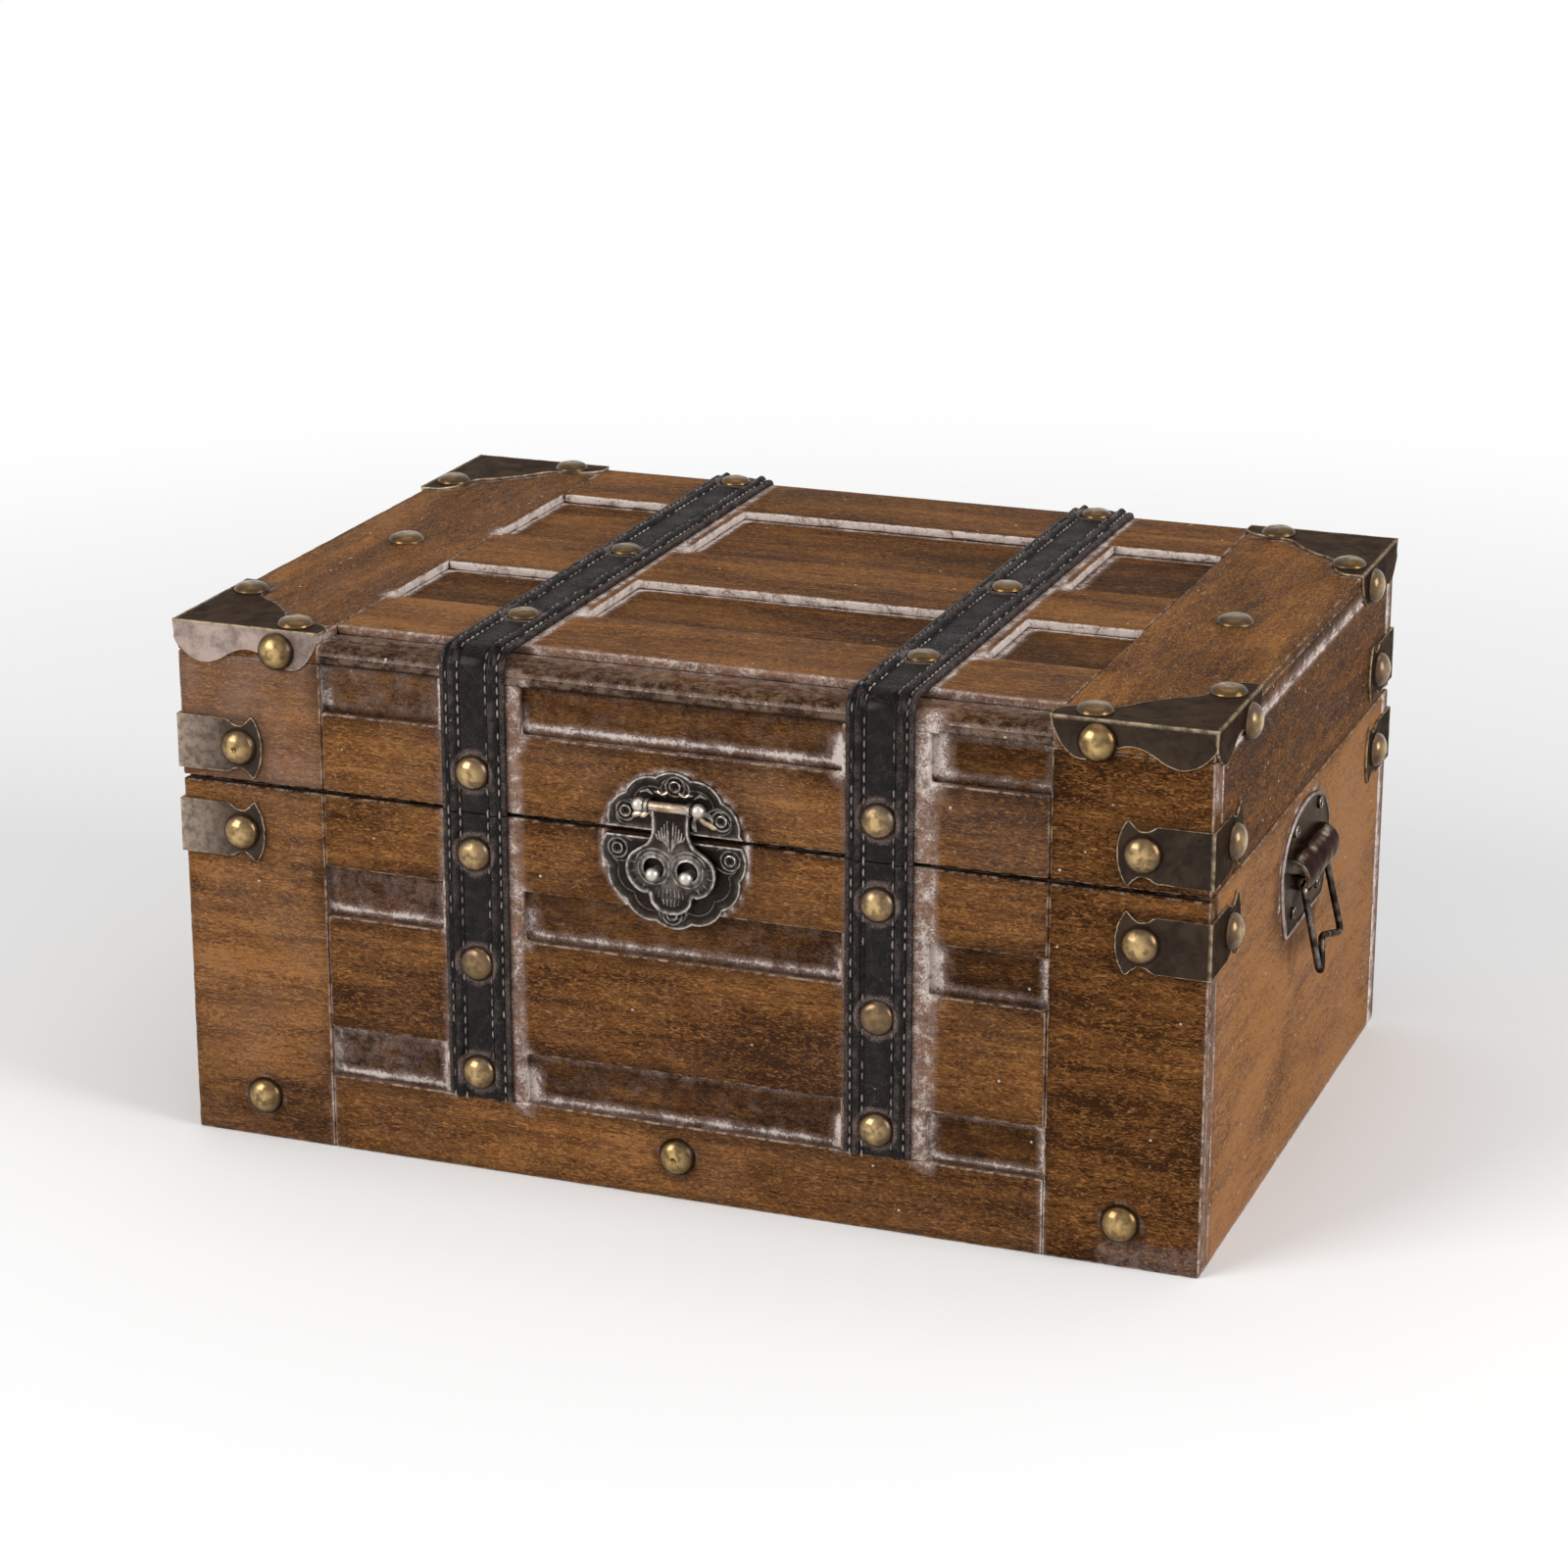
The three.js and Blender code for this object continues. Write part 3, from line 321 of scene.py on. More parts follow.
def build_wood(name, wood, broad_stretch, fine_stretch):
    """Stained board with streaked grain, painted light and shade, dark edging that is partly painted shade,
    whitewash, rubbed edges and specks.
    """
    nodes, shader = new_material(name)
    place = nodes.place()
    grain = nodes.group("board_grain", {"Vector": place, "Broad stretch": broad_stretch,
                        "Fine stretch": fine_stretch, "Tone": nodes.attribute("tone")})
    # The shade value lightens or darkens the stain: partly the board's own tone, partly painted light and
    # shade.
    stain = nodes.times(nodes.attribute("shade"), 0.13)
    for part, strength in (("Broad", 1.35), ("Streak", 1.2), ("Worm", 2.05)):
        stain = nodes.plus(stain, nodes.swing(grain[part], strength))
    base = nodes.mix(nodes.ease(stain, -0.42, 0.02), wood.deep, wood.middle)
    base = nodes.mix(nodes.ease(stain, -0.02, 0.46), base, wood.light)
    base = nodes.mix(nodes.ease(grain["Worm"], 0.54, 0.68, 0.0, 0.42), base, wood.fibre)
    base = nodes.mix(nodes.ease(grain["Pore"], 0.30, 0.44, 0.5, 0.0), base, wood.deep)
    haze = nodes.ease(nodes.noise(place, 34, 4, 0.6), 0.3, 0.7, 0.4, 1.6)
    base = nodes.mix(nodes.times(nodes.attribute("veil"), haze), base, wood.wash)
    # The soot value is dark edging together with painted shade in the pockets and gaps and painted shadows
    # round the fittings.
    patchiness = nodes.ease(nodes.noise(place, 120, 4, 0.65), 0.25, 0.7, 0.55, 1.15)
    soot = nodes.times(nodes.attribute("soot"), patchiness, clamp=True)
    base = nodes.mix(nodes.times(soot, 0.85), base, wood.soot)
    scuff = nodes.ease(nodes.noise(place, 300, 4, 0.7), 0.42, 0.62)
    near = nodes.ease(nodes.attribute("wash"), 0.0, 0.5, 0.5, 1.0)
    base = nodes.mix(nodes.times(nodes.times(nodes.attribute("rub"), scuff), near), base, wood.worn)
    wash = nodes.group("whitewash", {"Vector": place, "Amount": nodes.attribute("wash")})
    nick = nodes.specks(place, 46.0, 0.13, (0.31, 0.17, 0.23))
    for mask, share, coat in ((wash["Mask"], 0.74, wood.wash), (wash["Chalk"], 0.85, wood.chalk),
                              (nodes.specks(place, 130.0, 0.38), 0.72, wood.chalk),
                              (nodes.specks(place, 420.0, 0.21, (0.11, 0.29, 0.07)), 0.5, wood.worn),
                              (nick, 0.8, wood.soot)):
        base = nodes.mix(nodes.times(mask, share), base, coat)
    rough = nodes.plus(nodes.ease(grain["Streak"], 0.3, 0.7, 0.36, 0.5), nodes.times(wash["Mask"], 0.3))
    height = nodes.plus(nodes.times(grain["Streak"], 0.7), nodes.times(grain["Worm"], 0.75))
    height = nodes.plus(height, nodes.times(nick, -1.6))
    height = nodes.plus(height, nodes.times(wash["Mask"], 0.35))
    nodes.fill(shader, {"Base Color": base, "Roughness": rough, "Specular IOR Level": 0.008,
                        "Normal": bump(nodes, height, 0.34 * MM, 0.8)})


def build_leather(leather, wood):
    """Black pebbled hide with grey crests and chalk in the creases."""
    nodes, shader = new_material("strap_leather")
    place = nodes.place()
    pebble = nodes.group("leather_pebble", {"Vector": place})
    crest = nodes.times(nodes.attribute("crest"), nodes.ease(nodes.noise(place, 260, 4, 0.7), 0.4, 0.68))
    worn = nodes.math("MAXIMUM", nodes.times(crest, 0.6), nodes.times(pebble["Crease"], 0.36))
    base = nodes.mix(worn, leather.hide, leather.worn)
    chalk = nodes.group("whitewash", {"Vector": place, "Amount": nodes.attribute("wash")})
    base = nodes.mix(nodes.times(chalk["Mask"], 0.6), base, wood.wash)
    base = nodes.mix(nodes.times(nodes.specks(place, 240.0, 0.24), 0.5), base, wood.chalk)
    rough = nodes.ease(nodes.noise(place, 90, 3), 0.3, 0.7, 0.34, 0.5)
    nodes.fill(shader, {"Base Color": base, "Roughness": rough, "Specular IOR Level": 0.05,
                        "Coat Weight": nodes.attribute("sheen"), "Coat Roughness": 0.25,
                        "Normal": bump(nodes, pebble["Height"], 0.6 * MM)})


def build_thread(leather):
    """Twisted thread, soiled in places."""
    nodes, shader = new_material("stitch_thread")
    place = nodes.place()
    base = nodes.mix(nodes.ease(nodes.noise(place, 70, 3), 0.38, 0.6), leather.worn, leather.thread)
    nodes.fill(shader, {"Base Color": base, "Roughness": 0.75,
                        "Normal": bump(nodes, nodes.noise(place, 1500, 2), 0.1 * MM)})


def build_metal(name, dull, dark, bright, scale, roughness, pale=None, gloss=0.0, height=0.09,
                edge=(1.0, 1.0, 1.0, 1.0), pits=0.0):
    """Aged metal: dull body, dark clouds, bright worn rims and painted highlights by the rim attribute, and
    an optional pale bloom.
    """
    nodes, shader = new_material(name)
    place = nodes.place()
    patina = nodes.group("metal_patina", {"Vector": place, "Scale": scale})
    base = nodes.mix(patina["Cloud"], dark, dull)
    base = nodes.mix(nodes.times(patina["Pit"], 0.6), base, dark)
    # The rim value is worn metal, and painted highlight on the nail crowns, the sheet folds and the hood's
    # crest.
    wear = nodes.times(nodes.attribute("rim"), nodes.ease(nodes.noise(place, 420, 4), 0.34, 0.62, 0.25, 1.0))
    base = nodes.mix(wear, base, bright)
    metallic = 0.92
    if pale is not None:
        patches = nodes.ease(nodes.noise(place, 210, 5, 0.7), 0.30, 0.62, 0.45, 1.0)
        bloom = nodes.times(nodes.attribute("bloom"), patches)
        base = nodes.mix(nodes.times(bloom, 0.85), base, pale)
        metallic = nodes.plus(metallic, nodes.times(bloom, -0.6))
    if pits:
        base = nodes.mix(nodes.times(nodes.specks(place, 95.0, 0.3), pits), base, dark)
    rough = nodes.ease(patina["Cloud"], 0.0, 1.0, roughness + 0.14, roughness)
    rough = nodes.plus(rough, nodes.times(wear, -0.1))
    nodes.fill(shader, {"Base Color": base, "Metallic": metallic, "Roughness": rough, "Specular Tint": edge,
                        "Coat Weight": gloss, "Coat Roughness": 0.12,
                        "Normal": bump(nodes, patina["Height"], height * MM)})


def build_materials(scene):
    """Every material of the chest, by name."""
    wood, leather, metal = scene.chest_wood, scene.chest_leather, scene.chest_metal
    build_effect_groups()
    build_wood("boards_grain_across", wood, (0.32, 1.0, 1.0), (0.09, 1.0, 1.0))
    build_wood("boards_grain_deep", wood, (1.0, 0.32, 1.0), (1.0, 0.09, 1.0))
    build_leather(leather, wood)
    build_thread(leather)
    build_metal("nail_brass", metal.tarnish, metal.bronze, metal.brass, 90.0, 0.22, metal.lilac, height=0.03)
    build_metal("corner_bronze", metal.bronze, metal.bronze_dark, metal.rim, 120.0, 0.4, metal.lilac,
                pits=0.85, edge=(0.4, 0.37, 0.33, 1.0))
    build_metal("latch_pewter", metal.pewter, metal.bronze_dark, metal.silver, 420.0, 0.34, height=0.3)
    build_metal("latch_silver", metal.chrome, metal.silver, metal.chrome, 300.0, 0.3)
    build_metal("pin_brass", metal.lilac, metal.tarnish, metal.rim, 200.0, 0.3)
    build_metal("handle_bronze", metal.bronze, metal.bronze_dark, metal.silver, 60.0, 0.13, metal.lilac,
                gloss=0.05, height=0.04, edge=(0.42, 0.36, 0.3, 1.0))
    build_metal("bail_iron", metal.iron, metal.iron, metal.silver, 300.0, 0.28,
                edge=(0.5, 0.42, 0.36, 1.0))


# Meshes

def link_object(name, data):
    piece = bpy.data.objects.new(name, data)
    bpy.context.scene.collection.objects.link(piece)
    return piece


def new_object(name, maker):
    """An object with the mesh that the maker holds."""
    mesh = bpy.data.meshes.new(name)
    maker.to_mesh(mesh)
    maker.free()
    return link_object(name, mesh)


def bake_modifiers(piece):
    """Turns what the modifiers show into the piece's own plain mesh."""
    graph = bpy.context.evaluated_depsgraph_get()
    graph.update()
    plain = bpy.data.meshes.new_from_object(piece.evaluated_get(graph))
    piece.modifiers.clear()
    piece.data = plain


def hand_over(piece, body, slot, sharp, nodes=()):
    """Smooths a piece up to the sharp angle, hangs it on its body and hides the CAD nodes that it replaces.
    """
    piece.data.shade_smooth()
    piece.data.set_sharp_from_angle(angle=math.radians(sharp))
    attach(piece, body)
    if nodes:
        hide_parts(*nodes)


def finish_piece(name, maker, material, body, slot, nodes=(), modifiers=(), sharp=35.0):
    """Makes a piece from a bmesh, applies its modifiers, and hands it over."""
    piece = new_object(name, maker)
    for kind, settings in modifiers:
        modifier = piece.modifiers.new(kind.title(), kind)
        for key, value in settings.items():
            setattr(modifier, key, value)
    if modifiers:
        bake_modifiers(piece)
    piece.data.materials.clear()
    piece.data.materials.append(bpy.data.materials[material])
    hand_over(piece, body, slot, sharp, nodes)


def filled(fill, *values):
    """A new bmesh, filled by a function."""
    maker = bmesh.new()
    fill(maker, *values)
    return maker


def outward(maker, faces=None):
    bmesh.ops.recalc_face_normals(maker, faces=faces or maker.faces)


def skin(maker, rings, capped=True):
    """Joins closed rings of one length, with a face over each end; returns the new faces."""
    size = len(rings[0])
    made = [maker.faces.new((a[k], a[(k + 1) % size], b[(k + 1) % size], b[k]))
            for a, b in zip(rings, rings[1:]) for k in range(size)]
    return made + [maker.faces.new(end) for end in (rings[0][::-1], rings[-1])] if capped else made


def add_ring(maker, spots, shine=0.0):
    """Vertices at places in millimetres, all with the same shine: worn metal, and on some pieces painted
    highlight.
    """
    rim = value_layer(maker, "rim")
    ring = [maker.verts.new(Vector(spot) * MM) for spot in spots]
    for vert in ring:
        vert[rim] = shine
    return ring


def slice_at(maker, axis, level):
    """Cuts a line of edges into the mesh, square to an axis, at a level in metres."""
    direction = Vector([float(i == axis) for i in range(3)])
    bmesh.ops.bisect_plane(maker, geom=[*maker.verts, *maker.edges, *maker.faces],
                           plane_co=direction * level, plane_no=direction, dist=1e-7)


def add_web(maker, size, place, turn=0.0):
    """A plain block of metal, turned about the upright."""
    corners = bmesh.ops.create_cube(maker, size=1.0)["verts"]
    bmesh.ops.scale(maker, vec=[side * MM for side in size], verts=corners)
    bmesh.ops.rotate(maker, matrix=Matrix.Rotation(turn, 3, "Z"), verts=corners)
    bmesh.ops.translate(maker, vec=Vector(place) * MM, verts=corners)


def around(centre, radius, degrees):
    """A point on a circle."""
    angle = math.radians(degrees)
    return centre[0] + radius * math.cos(angle), centre[1] + radius * math.sin(angle)


def value_layer(maker, name):
    layers = maker.verts.layers.float
    return layers.get(name) or layers.new(name)


def wobble(place, size, seed=0.0):
    """Smooth noise from -1 to 1 at a place in millimetres, with features of the given size."""
    return noise.noise(Vector((place[0] / size + seed, place[1] / size - seed, place[2] / size + 2 * seed)))


def ease(low, high, value):
    share = np.clip((value - low) / (high - low), 0, 1)
    return share * share * (3 - 2 * share)


# Brushwork on the boards: wash, soot with painted shade, and dark painted shade are strokes round boxes,
# lines and rings

LINE_DEPTH = 1.5  # how far in front of or behind its level a line still counts in full


class Brushwork:
    """Strokes of wash, soot and dark, each with its reach and strength; soot is dark edging together with
    painted shade, and dark is painted shade in gaps and creases that also stops wash and rub.
    """

    def __init__(self):
        self.strokes = {"wash": [], "soot": [], "dark": []}

    def blocks(self, kind, *strokes):
        """Strokes round boxes, each as x, y and z in millimetres, reach and strength; a number is a level."""
        for *box, reach, strength in strokes:
            low, high = np.array([side if isinstance(side, tuple) else (side, side) for side in box], float).T

            def away(points, low=low, high=high):
                return np.linalg.norm(points - np.clip(points, low, high), axis=1)
            self.strokes[kind].append((away, reach, strength))

    def path(self, kind, axes, level, corners, reach, strength):
        """A line through corners in the plane of two axes, near a level on the third."""
        third = 3 - sum(axes)
        corners = np.array(corners, float)

        def away(points):
            flat = points[:, axes]
            best = np.full(len(points), 1e9)
            for start, end in zip(corners[:-1], corners[1:]):
                run = end - start
                share = np.clip(((flat - start) @ run) / max(run @ run, 1e-9), 0, 1)
                best = np.minimum(best, np.linalg.norm(flat - start - share[:, None] * run, axis=1))
            return best + np.maximum(np.abs(points[:, third] - level) - LINE_DEPTH, 0) * 3
        self.strokes[kind].append((away, reach, strength))

    def ring(self, kind, axes, level, centre, radii, reach, strength):
        """An ellipse round a fitting."""
        turns = np.linspace(0, 2 * math.pi, 49)
        corners = [(centre[0] + radii[0] * math.cos(a), centre[1] + radii[1] * math.sin(a)) for a in turns]
        self.path(kind, axes, level, corners, reach, strength)

    def amount(self, kind, points):
        total = np.zeros(len(points))
        for away, reach, strength in self.strokes[kind]:
            total = np.maximum(total, strength * (1 - ease(0.15 * reach, reach, away(points))))
        return total


COLUMNS = {
    "left": (-PANEL, STRAP_CENTRES["left"] - STRAP_HALF - BATTEN_LEFT),
    "middle": (STRAP_CENTRES["left"] + STRAP_HALF + BATTEN_RIGHT,
               STRAP_CENTRES["right"] - STRAP_HALF - BATTEN_LEFT),
    "right": (STRAP_CENTRES["right"] + STRAP_HALF + BATTEN_RIGHT, PANEL),
}
FRONT_ROWS = {"low": (RAIL_TOP, MIDDLE_PLANK[0]), "mid": (MIDDLE_PLANK[1], UPPER_PLANK_BOTTOM),
              "lid": (LID_PLANK_TOP, PANEL_BOTTOM + 1)}
TOP_ROWS = {"front": (TOP_FRONT_END, TOP_MIDDLE[0]), "rear": (TOP_MIDDLE[1], TOP_REAR_START)}

# Wash along the left, right, lower and upper edge of each front pocket: reach in mm and strength
FRONT_WASH = {
    ("lid", "left"): ((3, .95), (2.6, .8), (2.2, 1.05), (4, .66)),
    ("lid", "middle"): ((4, .7), (7, 1.1), (4, 1.05), (3.2, .55)),
    ("lid", "right"): ((10, .9), (2.4, .85), (3.0, .95), (5, .74)),
    ("mid", "left"): ((3, .74), (3, .8), (2.6, 1.0), (2.4, .6)),
    ("mid", "middle"): ((6.5, .82), (5.4, .8), (2.8, .85), (2, .52)),
    ("mid", "right"): ((9, .92), (3, 1.1), (2.4, .72), (2.4, .56)),
    ("low", "left"): ((3.4, .9), (3.6, .96), (2.6, 1.05), (3, .7)),
    ("low", "middle"): ((7.5, .86), (5.4, .95), (3.4, .9), (3.4, .66)),
    ("low", "right"): ((5, .8), (3.4, 1.05), (2.6, .9), (3.2, .74)),
}
# Soot on the pocket floors is partly painted shade in the recesses; the dark line at a pocket's lower edge is
# painted shade in the crease.
POCKET_SOOT_AND_SHADE = {"lid": .62, "mid": .68, "low": .8}
POCKET_VEIL = {"left": .34, "middle": .22, "right": .1}
LOWER = 2  # place of the lower edge among the four
PAINTED_SHADE_LINE = 0.9  # width of the dark line that parts a pocket's wash from its lower edge


def front_brushwork(brush):
    """Wash, dark edging, painted shade and painted shadows of the planked front."""
    wall = (FRONT, FLOOR)
    for (row, column), edges in FRONT_WASH.items():
        (x0, x1), (z0, z1) = COLUMNS[column], FRONT_ROWS[row]
        upright = (z0, z0 + (0.5 if column == "middle" else 1.0) * (z1 - z0))
        sides = [(x0, upright), (x1, upright), ((x0, x1), z0), ((x0, x1), z1)]
        for number, ((x, z), (reach, strength)) in enumerate(zip(sides, edges)):
            brush.blocks("wash", (x, FLOOR, z0 + PAINTED_SHADE_LINE if number == LOWER else z, reach, strength),
                         (x, wall, z, 0.9, 0.42 * strength))
            # Soot along the pocket's edges is dark edging together with painted shade in the recess corners.
            brush.blocks("soot", (x, FLOOR, z, 7, 0.85))
        # Painted shade: a dark line in the crease along the pocket's lower edge.
        brush.blocks("dark", ((x0, x1), FLOOR, z0, 1.23, .765))
        # The pocket floor is darkened, partly as painted shade in the recess.
        inside = ((x0 + 1, x1 - 1), FLOOR, (z0 + 1, z1 - 1), 1)
        brush.blocks("soot", (*inside, POCKET_SOOT_AND_SHADE[row] + (.16 if column == "left" else 0)))
        brush.blocks("wash", (*inside, POCKET_VEIL[column]))
        if column != "left":
            brush.blocks("wash", ((x0 - 1, x0 + 1), FRONT, (z0 - 2, z1 + 1), 3.6, .6))
    for side, centre in STRAP_CENTRES.items():
        right, left = centre + STRAP_HALF, centre - STRAP_HALF
        wide, left_strength = (1.6, .6) if side == "right" else (1.0, .82)
        for z in ((RAIL_TOP, BODY_TOP), (LID_BOTTOM, TOP)):
            brush.blocks("wash", ((right, right + BATTEN_RIGHT * 0.7 * wide), FRONT, z, 2.6 * wide, .66),
                         (left, FRONT, z, 2.6, left_strength))
        brush.blocks("soot", (right, FRONT, (RAIL_TOP, TOP), 1.2, .55))
    for x, low_strength in ((-PANEL, .78), (PANEL, .85)):
        brush.blocks("wash", (x, FRONT, (0, RAIL_TOP), 1.3, low_strength),
                     (x, FRONT, (RAIL_TOP, MIDDLE_PLANK[1]), 1.1, .6),
                     (x, FRONT, (MIDDLE_PLANK[1], TOP), 0.9, .36))
        brush.blocks("soot", (x, FRONT, (0, TOP), 1.4, .5))
    # Painted shade in the gap between the two latch plates.
    brush.blocks("dark", ((LATCH_X - 21, LATCH_X + 21), wall, (BODY_TOP - 2, LID_BOTTOM + 2), 1.2, 1.0))
    brush.blocks("wash", ((HALF_WIDTH - 28, HALF_WIDTH), FRONT, (0, 6), 6, .42))
    # Painted shade in the seam between lid and chest; the front is also darker towards the bottom.
    brush.blocks("soot", (WIDTH, wall, SEAM, 1.5, 1.6), (WIDTH, FRONT, 0, 5, .45),
                 ((-HALF_WIDTH, -PANEL), FRONT, (0, 14), 12, .42),
                 ((30, PANEL), FRONT, (0, RAIL_TOP - 6), 12, .25))
    brush.ring("wash", [0, 2], FRONT, (LATCH_X, LATCH_Z), (23.3, 23.6), 2.2, .92)
    # Painted shadow of the latch plate, set below and to the right of it.
    brush.ring("soot", [0, 2], FRONT, (LATCH_X + 1, LATCH_Z - 3), (23.5, 23.5), 11, .5)
    for x in (-STUD_X, LATCH_X, STUD_X):
        brush.ring("wash", [0, 2], FRONT, (x, STUD_Z), (5.9, 5.9), 1.5, .5)
        # Painted contact shadow round each stud, set below and to the right.
        brush.ring("soot", [0, 2], FRONT, (x + .6, STUD_Z - .6), (5.6, 5.6), 3.4, .75)


def top_brushwork(brush):
    """Wash in the pockets of the top, on the front moulding and round the brackets, with dark edging, painted
    shade and painted shadows round the studs.
    """
    wall = (PANEL_TOP, TOP)
    for y0, y1 in TOP_ROWS.values():
        for column, (x0, x1) in COLUMNS.items():
            x, y = (x0, x1), (y0, y1)
            brush.blocks("wash", (x, y1, wall, 1.0, .9), (x0, y, wall, 1.0, .9), (x1, y, wall, 0.8, .5),
                         (x, y0, wall, 0.8, .55), ((x0 - 1.5, x0 + 3), (y0 - 2, y0 + 5), wall, 3, .78),
                         (x, y1, PANEL_TOP, 2.6, .85), (x0, y, PANEL_TOP, 3.4, .95),
                         (x, y0, PANEL_TOP, 1.4, .5), (x1, y, PANEL_TOP, 1.2, .36))
            # Soot beside the rear and left walls of each pocket is painted shade in the recess; the floors of
            # the right column are darker.
            brush.blocks("soot", (x, y1, PANEL_TOP, 6, .5), (x0, y, PANEL_TOP, 6, .45),
                         ((x0 + 1, x1 - 1), (y0 + 1, y1 - 1), PANEL_TOP, 1, .5 if column == "right" else .14))
    for centre in STRAP_CENTRES.values():
        right, left, run = centre + STRAP_HALF, centre - STRAP_HALF, (TOP_FRONT_START, BACK)
        brush.blocks("wash", ((right, right + 1), run, TOP, 2.4, .78), (left, run, TOP, 1.2, .3))
    for sign in (-1, 1):
        x = sign * PANEL
        brush.blocks("wash", (x, DEPTH, TOP, 0.9, .46), (x, (FRONT, FRONT + 12), wall, 2.5, .7))
        brush.blocks("soot", (x, DEPTH, TOP, 1.2, .3))
        for sign_y, edge in ((-1, FRONT), (1, BACK)):
            line = [(sign * (HALF_WIDTH - BRACKET_REACH * a), edge - sign_y * BRACKET_REACH * b)
                    for a, b in BRACKET_TOP]
            brush.path("wash", [0, 1], TOP, line, 2.0, .66)
            brush.path("soot", [0, 1], TOP, line, 3.2, .6)
        brush.ring("wash", [0, 1], TOP, (sign * STUD_X, 0), (6, 6), 1.4, .4)
        # Painted shadow ring round each top stud.
        brush.ring("soot", [0, 1], TOP, (sign * STUD_X, 0), (5.8, 5.8), 3, .5)
    across = (-PANEL, PANEL)
    brush.blocks("wash", (across, (TOP_FRONT_START, TOP_FRONT_START + 1), wall, 1.4, .62),
                 (across, (FRONT + 4, TOP_FRONT_START), PANEL_TOP, 1.5, .24),
                 (across, FRONT, (PANEL_TOP - 3.2, PANEL_TOP - 2.6), 1.0, .66),
                 (across, FRONT, (PANEL_BOTTOM + .4, PANEL_TOP), 1.0, .16))
    # Soot darkens the front of the moulding; the line under it is painted shade in the gap below the
    # moulding.
    brush.blocks("soot", (across, (FRONT, FRONT + 1), (PANEL_BOTTOM + .4, PANEL_TOP), 1.0, .55),
                 (across, (FRONT, FLOOR), (PANEL_BOTTOM, PANEL_BOTTOM + .8), 1.2, .95))


def side_brushwork(brush):
    """Wash along the joints of the sides and the back, with dark edging, painted shade in the seams and a
    painted shadow under each handle.
    """
    low = (0, PANEL_BOTTOM)
    for sign in (-1, 1):
        x = sign * HALF_WIDTH
        brush.blocks("wash", *((x, *stroke) for stroke in (
            ((FRONT, SIDE_FRONT), (0, 92), 1, .5), ((FRONT, SIDE_FRONT), (140, PANEL_BOTTOM), 1, .55),
            (SIDE_FRONT, low, 1.4, .78), (FRONT, low, 1.2, .66), ((SIDE_BACK, SIDE_BACK + .6), low, 1.7, .85),
            ((SIDE_BACK, BACK), low, 1, .42), (DEPTH, (0, .5), 1.6, .6),
            ((FRONT + 20, BACK - 20), (PANEL_BOTTOM - .5, PANEL_BOTTOM + .3), 2.0, .8),
            (DEPTH, PANEL_TOP, 0.8, .5), (DEPTH, SEAM, 1.0, .5), (BACK, (0, TOP), 1.6, .55))))
        # Dark edging along the side joints, and painted shade in the seam.
        brush.blocks("soot", *((x, *stroke) for stroke in (
            (DEPTH, (PANEL_BOTTOM, TOP), 1.5, .7), (DEPTH, SEAM, 1.8, .6),
            ((FRONT, SIDE_FRONT), (0, TOP), 2, .4), ((SIDE_BACK, BACK), (0, TOP), 2, .4))))
        brush.ring("wash", [1, 2], x, (0, HANDLE_Z), (30.6, 19.8), 2.4, .8)
        # Painted shadow of the handle, set below it.
        brush.ring("soot", [1, 2], x, (-2, HANDLE_Z - 3), (30, 20), 9, .62)
        for y in DEPTH:
            for z in (BODY_WRAP_Z, LID_WRAP_Z):
                brush.blocks("soot", ((sign * (HALF_WIDTH - 28), x)[::sign], y, (z - 9, z + 9), 3, .5))
    for centre in STRAP_CENTRES.values():
        brush.blocks("wash", *((x, BACK, (RAIL_TOP, TOP), 2.4, .55)
                               for x in (centre - STRAP_HALF, centre + STRAP_HALF)))
    brush.blocks("wash", (WIDTH, BACK, SEAM, 1.2, .5), (WIDTH, BACK, (0, .5), 1.6, .5),
                 (WIDTH, BACK, PANEL_BOTTOM, 1.6, .6))
    # Painted shade in the seam between lid and chest at the back.
    brush.blocks("soot", (WIDTH, BACK, SEAM, 2.4, .6))


def wear(place, radius, edge):
    """How deep a board is worn at a place, in millimetres; edge is one on its rounded edges."""
    chip = max(0.0, wobble(place, 7.0, 0.3) - 0.12) * 0.9 * radius
    return edge * chip + 0.06 * (1 + wobble(place, 34.0, 1.7))


def board_lines(low, high, radius, step):
    """Mesh lines across one side of a board, two of them in each rounded edge."""
    count = max(1, round((high - low - 2 * radius) / step))
    middle = np.linspace(low + radius, high - radius, count + 1)
    return np.concatenate([[low, low + 0.45 * radius], middle, [high - 0.45 * radius, high]])


def add_board(maker, low, high, radius, step):
    """Adds a block with rounded, slightly chipped edges and an even mesh; sizes in millimetres."""
    low, high = np.array(low, float), np.array(high, float)
    radius = min(radius, (high - low).min() * 0.45)
    lines = [board_lines(low[i], high[i], radius, step) for i in range(3)]
    last = [len(line) - 1 for line in lines]
    rub = value_layer(maker, "rub")
    found = {}

    def vertex(index):
        if index not in found:
            place = np.array([lines[i][index[i]] for i in range(3)])
            core = np.clip(place, low + radius, high - radius)
            out = place - core
            length = np.linalg.norm(out)
            rounded = core + out * (radius / length)
            edge = float(np.count_nonzero(np.abs(out) > 1e-6) > 1)
            rounded -= out / length * wear(place, radius, edge)
            found[index] = maker.verts.new(rounded * MM)
            found[index][rub] = edge
        return found[index]

    for axis in range(3):
        a, b = (axis + 1) % 3, (axis + 2) % 3
        for end in (0, last[axis]):
            for i, j in product(range(last[a]), range(last[b])):
                square = []
                for di, dj in ((0, 0), (1, 0), (1, 1), (0, 1)):
                    index = [0, 0, 0]
                    index[axis], index[a], index[b] = end, i + di, j + dj
                    square.append(vertex(tuple(index)))
                maker.faces.new(square if end else square[::-1])


